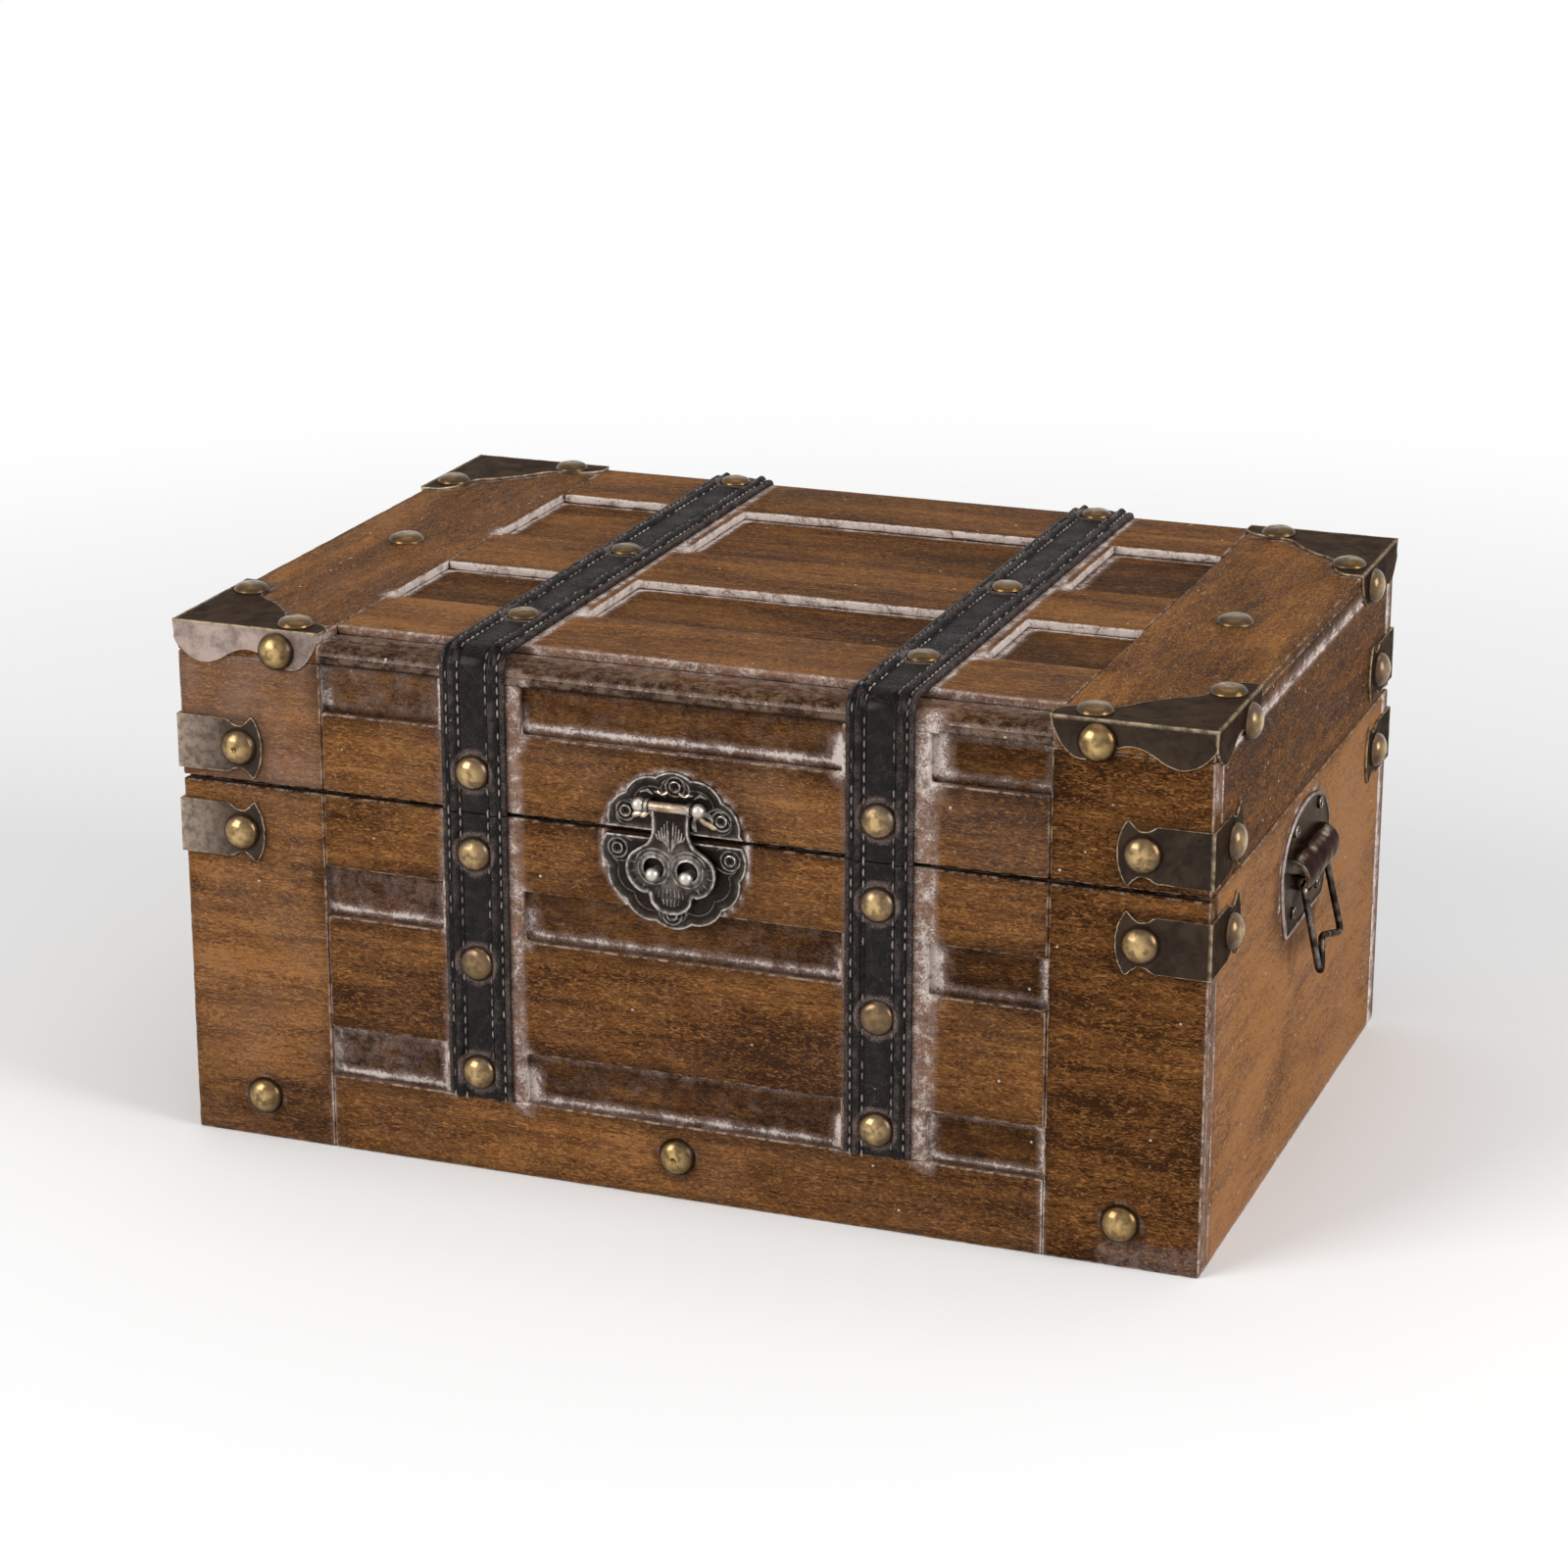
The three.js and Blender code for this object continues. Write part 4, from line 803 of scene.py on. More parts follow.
def add_slat(maker, low, high, step):
    """Rounded moulding along the front edge of the lid, with two worn beads."""
    front, bottom, back, top = *low[1:], *high[1:]
    beads = ((.5, 0), (.1, .5), (0, 1.2), (0, 2.2), (.35, 2.45), (.35, 2.75), (.1, 3.0))
    profile = [(back, bottom)] + [(front + y, bottom + z) for y, z in beads]
    for angle in np.linspace(math.pi, math.pi / 2, 7):
        profile.append((front + 4.1 + 4 * math.cos(angle), top - 3.1 + 3.1 * math.sin(angle)))
    profile += [(front + y, top - z) for y, z in ((7.4, 0), (7.7, .35), (8.1, .35), (8.4, 0))]
    profile.append((back, top))
    last = len(profile) - 1
    rub = value_layer(maker, "rub")
    rows = []
    for x in np.linspace(low[0], high[0], round((high[0] - low[0]) / step) + 1):
        row = []
        for k, (y, z) in enumerate(profile):
            sink = 0.12 * (1 + wobble((x, y, z), 9.0, 0.8)) if 0 < k < last else 0
            vert = maker.verts.new(Vector((x, y + sink, z - sink * .5)) * MM)
            vert[rub] = 0.34 if 2 < k < last else 0.0
            row.append(vert)
        rows.append(row)
    skin(maker, rows)
    outward(maker)


def paint_board(maker, brush, tone, shade, veil, painted_light_slope=0.0):
    """Stores the brushwork, the board's own tone, its grey veil and its painted light and shade in its
    vertices.
    """
    points = np.array([vert.co for vert in maker.verts]) / MM
    # dark is painted shade in gaps and creases; it joins the soot and clears the wash and rubbed edges there.
    dark = brush.amount("dark", points)
    even = np.ones(len(points))
    values = {"wash": brush.amount("wash", points) * (1 - dark), "tone": tone * even, "veil": veil * even,
              "soot": np.maximum(brush.amount("soot", points), dark),
              # shade is partly the board's own tone and partly painted light and shade, falling off to the
              # right as painted light.
              "shade": shade + painted_light_slope * points[:, 0] / 100}
    for name, amounts in values.items():
        layer = value_layer(maker, name)
        for vert, amount in zip(maker.verts, amounts):
            vert[layer] = amount
    rub = value_layer(maker, "rub")
    for vert, amount in zip(maker.verts, dark):
        vert[rub] *= 1 - amount


# The boards, each with how much lighter than the rest it is, partly its own tone and partly painted light and
# shade for how the lamps fall on it; how far all of it is greyed towards the pale wash colour; and how much
# lighter it gets in 100 mm to the right, a painted falloff of the key lamp's light
BOARDS = {
    "base_board": (-.5, 0), "body_side_left": (.6, .05), "body_side_right": (2.3, .08),
    "body_back_board": (.1, .05), "body_front_board": (0, 0), "body_front_stile_left": (.8, .08),
    "body_front_stile_right": (-1.0, 0), "body_bottom_rail": (.6, .04, -.4),
    "body_middle_plank": (-.45, .03, -.3), "body_upper_plank": (.05, .03, -.45), "lid_top_board": (-.7, 0),
    "lid_front_board": (0, 0), "lid_back_board": (0, .05), "lid_side_left": (.2, .05),
    "lid_side_right": (-1.9, 0), "lid_front_stile_left": (.6, .26), "lid_front_stile_right": (-1.3, 0),
    "lid_end_board_left": (.1, .03), "lid_end_board_right": (.5, 0), "lid_front_plank": (.5, .07, -.3),
    "top_plank_front": (.3, .03), "top_plank_middle": (.4, 0), "top_plank_rear": (.1, 0),
    "lid_edge_slat": (-2.5, .04),
}
DEEP_GRAIN = ("_side_", "_end_board_")  # boards with these words in their name have grain from front to back


def battened(tab_low, low, high, tab_high):
    """Outline of a plank with a batten under each strap that reaches past its edges."""
    battens = [(centre - STRAP_HALF - BATTEN_LEFT, centre + STRAP_HALF + BATTEN_RIGHT)
               for centre in STRAP_CENTRES.values()]
    line = [(-PANEL, low)]
    for start, end in battens if tab_low < low - 1 else ():
        line += [(start, low), (start, tab_low), (end, tab_low), (end, low)]
    line += [(PANEL, low), (PANEL, high)]
    for start, end in battens[::-1] if tab_high > high else ():
        line += [(end, high), (end, tab_high), (start, tab_high), (start, high)]
    return line + [(-PANEL, high)]


# Planks that are one with their battens: the axis they are thick along, their levels, their outline
BATTENED_PLANKS = {
    "body_middle_plank": (1, (FRONT, FLOOR), battened(RAIL_TOP, *MIDDLE_PLANK, UPPER_PLANK_BOTTOM + .8)),
    "lid_front_plank": (1, (FRONT, FLOOR),
                        battened(LID_BOTTOM, LID_BOTTOM + SEAM_WEAR, LID_PLANK_TOP, PANEL_BOTTOM)),
    "top_plank_middle": (2, (PANEL_TOP, TOP), battened(TOP_FRONT_END - .8, *TOP_MIDDLE, TOP_REAR_START + .8)),
}


def add_battened_plank(maker, axis, levels, outline, radius, step):
    """Adds a plank with battens: an outline with thickness, worn edges and an even mesh."""
    across = 3 - axis
    rub = value_layer(maker, "rub")

    def ring(level):
        spots = [(x, level, other) if axis == 1 else (x, other, level) for x, other in outline]
        return [maker.verts.new(Vector(spot) * MM) for spot in spots]

    near, far = (ring(level) for level in levels)
    maker.faces.new(near)
    maker.faces.new(far[::-1])
    for i in range(len(near)):
        j = (i + 1) % len(near)
        maker.faces.new((near[i], far[i], far[j], near[j]))
    outward(maker)
    bmesh.ops.bevel(maker, geom=maker.edges[:], offset=radius * MM, segments=3, profile=0.5, affect="EDGES")
    for side, values in zip((0, across), zip(*outline)):
        low, high = min(values), max(values)
        count = round((high - low) / step)
        for k in range(1, count):
            slice_at(maker, side, (low + (high - low) * k / count) * MM)
    maker.normal_update()
    for vert in maker.verts:
        vert[rub] = 1.0 if max(abs(value) for value in vert.normal) < 0.985 else 0.0
        vert.co -= vert.normal * wear(vert.co / MM, radius, vert[rub]) * MM


# Boards with a mesh this much coarser than the rest
COARSE = {"base_board": 4.0, "body_back_board": 2.0, "lid_back_board": 2.0, "lid_top_board": 1.3,
          "body_side_left": 1.3, "body_side_right": 1.3}


def board_parts(node):
    """The blocks that make up a board, in millimetres."""
    low, high = node_box(node)
    if node == "lid_top_board":
        ends = [((min(a, b), FRONT, low[2]), (max(a, b), TOP_FRONT_START, high[2]))
                for a, b in ((-HALF_WIDTH, -PANEL), (PANEL, HALF_WIDTH))]
        return [((low[0], TOP_FRONT_START, low[2]), high), *ends]
    if abs(high[2] - BODY_TOP) < 0.1:
        high[2] -= SEAM_WEAR
    if abs(low[2] - LID_BOTTOM) < 0.1:
        low[2] += SEAM_WEAR
    return [(low, high)]


class CHEST_OT_boards(bpy.types.Operator):
    """Builds every board with worn edges, dark edging and whitewash"""
    bl_idname = "chest.boards"
    bl_label = "Boards"

    def execute(self, context):
        wood = context.scene.chest_wood
        step, radius = wood.step / MM, wood.edge / MM
        brush = Brushwork()
        for paint in (front_brushwork, top_brushwork, side_brushwork):
            paint(brush)
        slots = {part["node"]: part["material_slot"] for part in frame["record"]["subparts"]}
        for node, finish in BOARDS.items():
            maker = bmesh.new()
            if node == "lid_edge_slat":
                add_slat(maker, *node_box(node), step)
            elif node in BATTENED_PLANKS:
                add_battened_plank(maker, *BATTENED_PLANKS[node], radius, step)
            else:
                for low, high in board_parts(node):
                    add_board(maker, low, high, radius, step * COARSE.get(node, 1))
            tone = (zlib.crc32(node.encode()) % 1000) / 1000
            paint_board(maker, brush, tone, *finish)
            way = "deep" if any(word in node for word in DEEP_GRAIN) else "across"
            body = "lid" if node.startswith(("lid", "top")) else "chest"
            finish_piece(f"{node}_worn", maker, f"boards_grain_{way}", body, slots[node], [node], sharp=50.0)
        return {"FINISHED"}


# Leather

def strap_section():
    """Height of the strap across its width: lips, stitched grooves, padded ridges and a flat middle."""
    half = [(10.5, .5), (10.35, 1.1), (10.0, 1.45), (9.2, 1.6), (8.6, 1.5), (8.3, 1.15), (8.0, 1.2),
            (7.6, 2.0), (7.0, 2.7), (6.4, 2.95), (5.8, 2.75), (5.2, 2.05), (4.8, 1.3), (4.5, 1.15),
            (4.1, 1.4), (3.0, 1.6), (1.2, 1.68)]
    return [(-across, height) for across, height in half] + half[::-1]


STITCH_ROWS = (-8.3, -4.55, 4.55, 8.3)
STITCH_LEVEL = 1.42
ROUTE_STEP = 1.6
LID_BEND, BACK_BEND = 5, .6  # how round a strap lies over the front and the back edge of the lid


def strap_route(kind):
    """Middle line of a strap on the wood as (place, outward normal, ridge share), in the plane of its run."""
    route = []

    def run(start, end, normal, share):
        start, end = Vector(start), Vector(end)
        count = max(2, round((end - start).length / ROUTE_STEP))
        for i in range(count + 1):
            route.append((start.lerp(end, i / count), Vector(normal), share))

    def bend(centre, radius, first, last, share, count):
        for i in range(1, count):
            angle = math.radians(first + (last - first) * i / count)
            out = Vector((0, math.cos(angle), math.sin(angle)))
            route.append((Vector(centre) + out * radius, out, share))

    strap_bottom = RAIL_TOP + STRAP_LIFT
    if kind == "front":
        run((0, FRONT, strap_bottom), (0, FRONT, BODY_TOP), (0, -1, 0), 1)
    elif kind == "back":
        run((0, BACK, BODY_TOP), (0, BACK, strap_bottom), (0, 1, 0), .55)
    else:
        run((0, FRONT, LID_BOTTOM), (0, FRONT, TOP - LID_BEND), (0, -1, 0), 1)
        bend((0, FRONT + LID_BEND, TOP - LID_BEND), LID_BEND, 180, 90, 1, 9)
        run((0, FRONT + LID_BEND, TOP), (0, BACK - BACK_BEND, TOP), (0, 0, 1), .6)
        bend((0, BACK - BACK_BEND, TOP - BACK_BEND), BACK_BEND, 90, 0, .8, 7)
        run((0, BACK, TOP - BACK_BEND), (0, BACK, LID_BOTTOM), (0, 1, 0), .55)
    return route


def add_strap(maker, centre, kind):
    """Sweeps the padded section along the strap's route, with wash in its grooves and round its nails."""
    crest, wash, sheen = (value_layer(maker, name) for name in ("crest", "wash", "sheen"))
    rows = []
    for place, out, share in strap_route(kind):
        def vertex(across, level, place=place, out=out):
            return maker.verts.new((Vector((centre + across, place.y, place.z)) + out * level) * MM)

        row = []
        for across, height in strap_section():
            side = math.copysign(1, across)
            level = min(height, LEATHER) + max(height - LEATHER, 0.0) * share
            if abs(across) <= 9.9:
                level += 0.09 * wobble((centre + across, place.y, place.z), 6.0, 2.2)
            sideways = 0.22 * wobble((centre + 20 * side, place.y, place.z), 11.0, 4.1)
            vert = vertex(across + min(0.0, sideways * side) * side, level)
            vert[crest] = 1.0 if 2.6 < height or abs(abs(across) - 10.0) < .2 else 0.25
            vert[wash] = .34 if abs(across) > 9.0 else (.22 if height < 1.3 else 0.0)
            vert[sheen] = 0.3 * max(0.0, 1 - out.z)
            row.append(vert)
        rows.append([vertex(-10.4, .02), *row, vertex(10.4, .02)])
    skin(maker, rows)
    bmesh.ops.remove_doubles(maker, verts=maker.verts, dist=0.01 * MM)
    outward(maker)
    points = np.array([vert.co for vert in maker.verts]) / MM
    heads = np.array([nail[0] for nails in nail_points().values() for nail in nails])
    gap = np.abs(np.linalg.norm(points[:, None] - heads[None], axis=2).min(axis=1) - 6.0)
    for vert, near in zip(maker.verts, 1 - ease(0.4, 1.7, gap)):
        vert[wash] = max(vert[wash], 0.85 * near)


def stitch_lines(maker, centre, kind):
    """Open lines that the stitches follow, with the direction in which they stand up."""
    vectors = maker.verts.layers.float_vector
    up = vectors.get("up") or vectors.new("up")
    for across in STITCH_ROWS:
        before = None
        for place, out, _ in strap_route(kind):
            vert = maker.verts.new((Vector((centre + across, place.y, place.z)) + out * STITCH_LEVEL) * MM)
            vert[up] = out
            if before:
                maker.edges.new((before, vert))
            before = vert


def geometry_tree(name, inputs):
    """An empty geometry tree with a geometry in and out and named inputs; returns helper, inputs, output."""
    tree = bpy.data.node_groups.new(name, "GeometryNodeTree")
    for socket, kind in {"Geometry": "Geometry", **inputs}.items():
        tree.interface.new_socket(name=socket, in_out="INPUT", socket_type=f"NodeSocket{kind}")
    tree.interface.new_socket(name="Geometry", in_out="OUTPUT", socket_type="NodeSocketGeometry")
    nodes = Nodes(tree)
    return nodes, nodes.add("NodeGroupInput").outputs, nodes.add("NodeGroupOutput").inputs


def point_value(nodes, name, kind):
    """The output of a node that reads a value stored in the points."""
    return nodes.first("GeometryNodeInputNamedAttribute", {"Name": name}, data_type=kind)


def finish_instances(nodes, instances, material, out):
    """Realises the instances and gives them their material."""
    real = nodes.first("GeometryNodeRealizeInstances", {"Geometry": instances})
    painted = nodes.first("GeometryNodeSetMaterial", {"Geometry": real, "Material": material})
    nodes.fill(out, {"Geometry": painted})


def run_tree(piece, tree, values):
    """Adds the tree to a piece with its input values, and bakes what it makes."""
    modifier = piece.modifiers.new(tree.name, "NODES")
    modifier.node_group = tree
    for item in tree.interface.items_tree:
        if item.in_out == "INPUT" and item.name in values:
            modifier[item.identifier] = values[item.name]
    bake_modifiers(piece)


def build_stitch_tree():
    """Repeats the stitch along the lines, stood up by their up value, and leaves some stitches out."""
    nodes, given, out = geometry_tree("strap_stitches", {
        "Stitch": "Object", "Pitch": "Float", "Missing": "Float", "Seed": "Int", "Material": "Material"})
    curve = nodes.first("GeometryNodeMeshToCurve", {"Mesh": given["Geometry"]})
    curve = nodes.first("GeometryNodeResampleCurve", {"Curve": curve, "Length": given["Pitch"]},
                        mode="LENGTH")
    chance = nodes.add("FunctionNodeRandomValue", {"Seed": given["Seed"]}, data_type="FLOAT").outputs[1]
    worn = nodes.first("FunctionNodeCompare", {0: chance, 1: given["Missing"]},
                       operation="LESS_THAN")
    along = nodes.first("GeometryNodeInputTangent")
    turn = nodes.first("FunctionNodeAlignRotationToVector", {"Vector": along}, axis="X")
    up = point_value(nodes, "up", "FLOAT_VECTOR")
    turn = nodes.first("FunctionNodeAlignRotationToVector", {"Rotation": turn, "Vector": up}, axis="Z",
                       pivot_axis="X")
    stitch = nodes.add("GeometryNodeObjectInfo", {"Object": given["Stitch"]}).outputs["Geometry"]
    size = nodes.add("FunctionNodeRandomValue", {2: 0.8, 3: 1.15, "Seed": given["Seed"]},
                     data_type="FLOAT").outputs[1]
    placed = nodes.first("GeometryNodeInstanceOnPoints",
                         {"Points": curve, "Instance": stitch, "Rotation": turn, "Scale": size})
    kept = nodes.first("GeometryNodeDeleteGeometry", {"Geometry": placed, "Selection": worn},
                       domain="INSTANCE")
    finish_instances(nodes, kept, given["Material"], out)
    return nodes.tree


def template(name, maker):
    """A mesh that geometry nodes repeat; it is removed when they are done."""
    shape = new_object(name, maker)
    shape.data.shade_smooth()
    return shape


def stitch_shape():
    """One stitch: a short thread, pinched at both ends."""
    maker = bmesh.new()
    rings = []
    for along, radius in ((-1.15, .06), (-.85, .24), (0, .3), (.85, .24), (1.15, .06)):
        lift = 0.12 - 0.3 * (abs(along) / 1.15) ** 2
        spots = [Vector((along, *around((0, lift), radius, 60 * k))) for k in range(6)]
        rings.append([maker.verts.new(spot * MM) for spot in spots])
    skin(maker, rings)
    outward(maker)
    return maker


class CHEST_OT_straps(bpy.types.Operator):
    """Builds the padded leather straps and their stitches"""
    bl_idname = "chest.straps"
    bl_label = "Leather straps"

    def execute(self, context):
        leather = context.scene.chest_leather
        runs = {"chest": [("front", "body_strap_front"), ("back", "body_strap_back")],
                "lid": [("lid", "lid_strap")]}
        shape = template("stitch_shape", stitch_shape())
        tree = build_stitch_tree()
        for body, kinds in runs.items():
            lines = bmesh.new()
            for kind, node in kinds:
                for side, centre in STRAP_CENTRES.items():
                    finish_piece(f"{node}_{side}_hide", filled(add_strap, centre, kind), "strap_leather",
                                 body, "black_leather", [f"{node}_{side}"], sharp=60.0)
                    stitch_lines(lines, centre, kind)
            piece = new_object(f"{body}_strap_stitches", lines)
            run_tree(piece, tree, {"Stitch": shape, "Pitch": leather.pitch, "Missing": leather.missing,
                                   "Seed": leather.seed, "Material": bpy.data.materials["stitch_thread"]})
            hand_over(piece, body, "black_leather", 80.0)
        bpy.data.objects.remove(shape)
        return {"FINISHED"}


# Nails and screws

def turned(maker, profile, count, place=(0, 0, 0), axis=UP, rims=None):
    """Turns a profile of (radius, height) round an axis; returns the new faces."""
    turn = UP.rotation_difference(axis)
    rings = []
    for k, (radius, height) in enumerate(profile):
        angles = [2 * math.pi * i / count for i in range(count if radius > 1e-6 else 1)]
        spots = [Vector((radius * math.cos(a), radius * math.sin(a), height)) for a in angles]
        spots = [Vector(place) + turn @ spot for spot in spots]
        rings.append(add_ring(maker, spots, rims[k] if rims else 0.0))
    made = []
    for a, b in zip(rings, rings[1:]):
        for i in range(count):
            corners = a[i % len(a)], a[(i + 1) % len(a)], b[(i + 1) % len(b)], b[i % len(b)]
            if len(set(corners)) > 2:
                made.append(maker.faces.new(list(dict.fromkeys(corners))))
    return made


def add_collar(maker, profile, count, place, axis, shine):
    """Turns a closed profile that doesn't touch the axis."""
    made = turned(maker, [*profile, profile[0]], count, place, axis, [shine] * (len(profile) + 1))
    verts = {vert for face in made for vert in face.verts}
    bmesh.ops.remove_doubles(maker, verts=list(verts), dist=.001 * MM)


PLAIN, DIMPLED, BEATEN = 0, 1, 2
NAIL_HEIGHTS = (3.55, 3.4, 2.5)
NAIL_DENTS = (0.0, 0.12, 0.22)


def nail_shape(form):
    """A domed nail: plain, dimpled or beaten flat, with a painted highlight on its crown."""
    maker = bmesh.new()
    tall, steps = NAIL_HEIGHTS[form], 9
    profile, rims = [(0, -.2), (5.0, -.2), (5.3, 0), (5.28, .3)], [0, 0, 0, .1]
    for i in range(1, steps):
        angle = (math.pi / 2) * i / steps
        across = 5.2 * math.cos(angle) ** (.8 if form == BEATEN else 1.0)
        profile.append((across, .3 + (tall - .3) * math.sin(angle)))
        # The rim value rises towards the crown, so the top is bright and the skirt dark: partly polished
        # wear, partly painted highlight and shade of the dome.
        rims.append(min(1.0, 1.5 * (i / steps) ** 2.4) * (0.3 if form == BEATEN else 1))
    if form == DIMPLED:
        profile += [(.75, tall - .35), (0, tall - .55)]
        rims += [.2, 0.0]
    else:
        profile.append((0, tall))
        rims.append(0.35 if form == BEATEN else 1.0)
    turned(maker, profile, 24, rims=rims)
    for vert in maker.verts:
        if vert.co.z > .5 * MM:
            dent = NAIL_DENTS[form] * MM * (1 + wobble(vert.co / MM, 2.4, form + .5))
            vert.co -= vert.co.normalized() * dent
    outward(maker)
    return maker


def screw_shape():
    """A small screw head with a raised rim and a cross in it."""
    maker = bmesh.new()
    turned(maker, [(0, -.3), (1.9, -.3), (1.95, .45), (1.75, .75), (1.5, .78), (1.3, .55), (0, .5)], 16,
           rims=[0, 0, .2, .9, 1, .1, 0])
    for angle in (0, math.pi / 2):
        add_web(maker, (1.9, .34, .2), (0, 0, .56), angle + .5)
    outward(maker)
    return maker


def build_scatter_tree():
    """Stands one of several shapes on each point, turned and scaled by the point's own values."""
    nodes, given, out = geometry_tree("fittings_on_points", {
        "Plain": "Object", "Dimpled": "Object", "Beaten": "Object", "Size": "Float", "Material": "Material"})
    joined = nodes.add("GeometryNodeJoinGeometry")
    for name in ("Beaten", "Dimpled", "Plain"):
        shape = nodes.add("GeometryNodeObjectInfo", {"Object": given[name]}).outputs["Geometry"]
        single = nodes.first("GeometryNodeGeometryToInstance", {"Geometry": shape})
        nodes.fill(joined.inputs, {0: single})
    turn = point_value(nodes, "turn", "FLOAT_VECTOR")
    turn = nodes.first("FunctionNodeEulerToRotation", {"Euler": turn})
    placed = nodes.first("GeometryNodeInstanceOnPoints", {
        "Points": given["Geometry"], "Instance": joined.outputs[0], "Pick Instance": True,
        "Instance Index": point_value(nodes, "form", "INT"), "Rotation": turn,
        "Scale": nodes.times(given["Size"], point_value(nodes, "grow", "FLOAT"))})
    finish_instances(nodes, placed, given["Material"], out)


GOLDEN_ANGLE = 2.399  # between one fitting and the next, so that no two stand alike


def point_mesh(points):
    """Points as (place in mm, direction, form, bloom, size), with the values that the scatter tree reads."""
    maker = bmesh.new()
    layers = maker.verts.layers
    turn, form = layers.float_vector.new("turn"), layers.int.new("form")
    bloom, grow = layers.float.new("bloom"), layers.float.new("grow")
    for i, (place, direction, kind, haze, size) in enumerate(points):
        vert = maker.verts.new(Vector(place) * MM)
        spin = Euler((0, 0, GOLDEN_ANGLE * i)).to_quaternion()
        stand = UP.rotation_difference(Vector(direction))
        vert[turn] = Vector((stand @ spin).to_euler())
        vert[form], vert[bloom], vert[grow] = kind, haze, size
    return maker


LID_NAIL_Z = 128.5


def nail_points():
    """Every nail as (place, direction, form, bloom, size), by body."""
    chest, lid = [], []
    run = BODY_TOP - RAIL_TOP - STRAP_LIFT
    for centre in STRAP_CENTRES.values():
        for share, form in ((.138, PLAIN), (.522, BEATEN), (.906, PLAIN)):
            z = BODY_TOP - run * share
            chest.append(((centre, FRONT - LEATHER, z), FORWARD, form, .1, 1.0))
            chest.append(((centre, BACK + BACK_LEATHER, z), BACKWARD, PLAIN, .2, 1.0))
        lid.append(((centre, FRONT - LEATHER, LID_NAIL_Z), FORWARD, PLAIN, .1, 1.0))
        lid.append(((centre, BACK + BACK_LEATHER, LID_NAIL_Z), BACKWARD, PLAIN, .2, 1.0))
        lid += [((centre, y, TOP + LEATHER), UP, BEATEN, 0, 0.9) for y in (-74.0, 6.5, 103.0)]
    for x, form in ((-STUD_X, PLAIN), (LATCH_X, DIMPLED), (STUD_X, PLAIN)):
        chest.append(((x, FRONT, STUD_Z), FORWARD, form, .0, 1.07))
    for sign in (-1, 1):
        side = (sign, 0, 0)
        lid.append(((sign * STUD_X, 0, TOP), UP, BEATEN, 0, 1.05))
        for edge, turn, face in ((FRONT, 1, FORWARD), (BACK, -1, BACKWARD)):
            outer = sign * (HALF_WIDTH + SHEET)
            skin_y = edge - turn * SHEET
            lid += [((sign * (HALF_WIDTH - 37), edge + turn * 6.5, TOP + SHEET), UP, BEATEN, 0, 1.0),
                    ((sign * (HALF_WIDTH - 6.5), edge + turn * 37, TOP + SHEET), UP, BEATEN, 0, 1.0),
                    ((sign * (HALF_WIDTH - 34), skin_y, TOP - 6), face, PLAIN, .0, 1.06),
                    ((outer, edge + turn * 34, TOP - 6), side, PLAIN, .1, 1.0)]
            for z, body in ((LID_WRAP_Z, lid), (BODY_WRAP_Z, chest)):
                form = DIMPLED if sign < 0 and body is lid else PLAIN
                body += [((sign * (HALF_WIDTH - 20), skin_y, z), face, form, .05, 1.06),
                         ((outer, edge + turn * 20, z), side, PLAIN, .1, 1.0)]
    return {"chest": chest, "lid": lid}


def scatter(points, shapes, size, material, name, body, slot, nodes=()):
    """Dresses points with shapes and hands the result over."""
    piece = new_object(name, point_mesh(points))
    values = dict(zip(("Plain", "Dimpled", "Beaten"), shapes), Size=size,
                  Material=bpy.data.materials[material])
    run_tree(piece, bpy.data.node_groups["fittings_on_points"], values)
    hand_over(piece, body, slot, 50.0, nodes)


def add_screws(name, places, direction, body, slot, size=1.0):
    """Sets iron screws at places that all face one way."""
    shape = template("screw_shape", screw_shape())
    points = [(place, direction, PLAIN, 0, size) for place in places]
    scatter(points, [shape] * 3, 1.0, "bail_iron", name, body, slot)
    bpy.data.objects.remove(shape)


class CHEST_OT_nails(bpy.types.Operator):
    """Sets the domed brass nails"""
    bl_idname = "chest.nails"
    bl_label = "Domed nails"

    def execute(self, context):
        build_scatter_tree()
        shapes = [template(f"nail_shape_{form}", nail_shape(form)) for form in (PLAIN, DIMPLED, BEATEN)]
        alone = {"chest": ("front_stud_left", "front_stud_centre", "front_stud_right"),
                 "lid": ("top_stud_left", "top_stud_right")}
        for body, points in nail_points().items():
            scatter(points, shapes, context.scene.chest_metal.nail, "nail_brass", f"{body}_nails", body,
                    "antique_brass", alone[body])
        for shape in shapes:
            bpy.data.objects.remove(shape)
        return {"FINISHED"}


# Pressed sheet

def smooth_line(points, steps):
    """A smooth line through points, open at both ends."""
    points = [Vector(p) for p in points]
    padded = [2 * points[0] - points[1], *points, 2 * points[-1] - points[-2]]
    line = []
    for a, b, c, d in zip(padded, padded[1:], padded[2:], padded[3:]):
        for i in range(steps):
            t = i / steps
            line.append(0.5 * ((2 * b) + (c - a) * t + (2 * a - 5 * b + 4 * c - d) * t * t
                               + (3 * b - a - 3 * c + d) * t * t * t))
    line.append(points[-1])
    return line


FOLD_RADIUS = 0.8


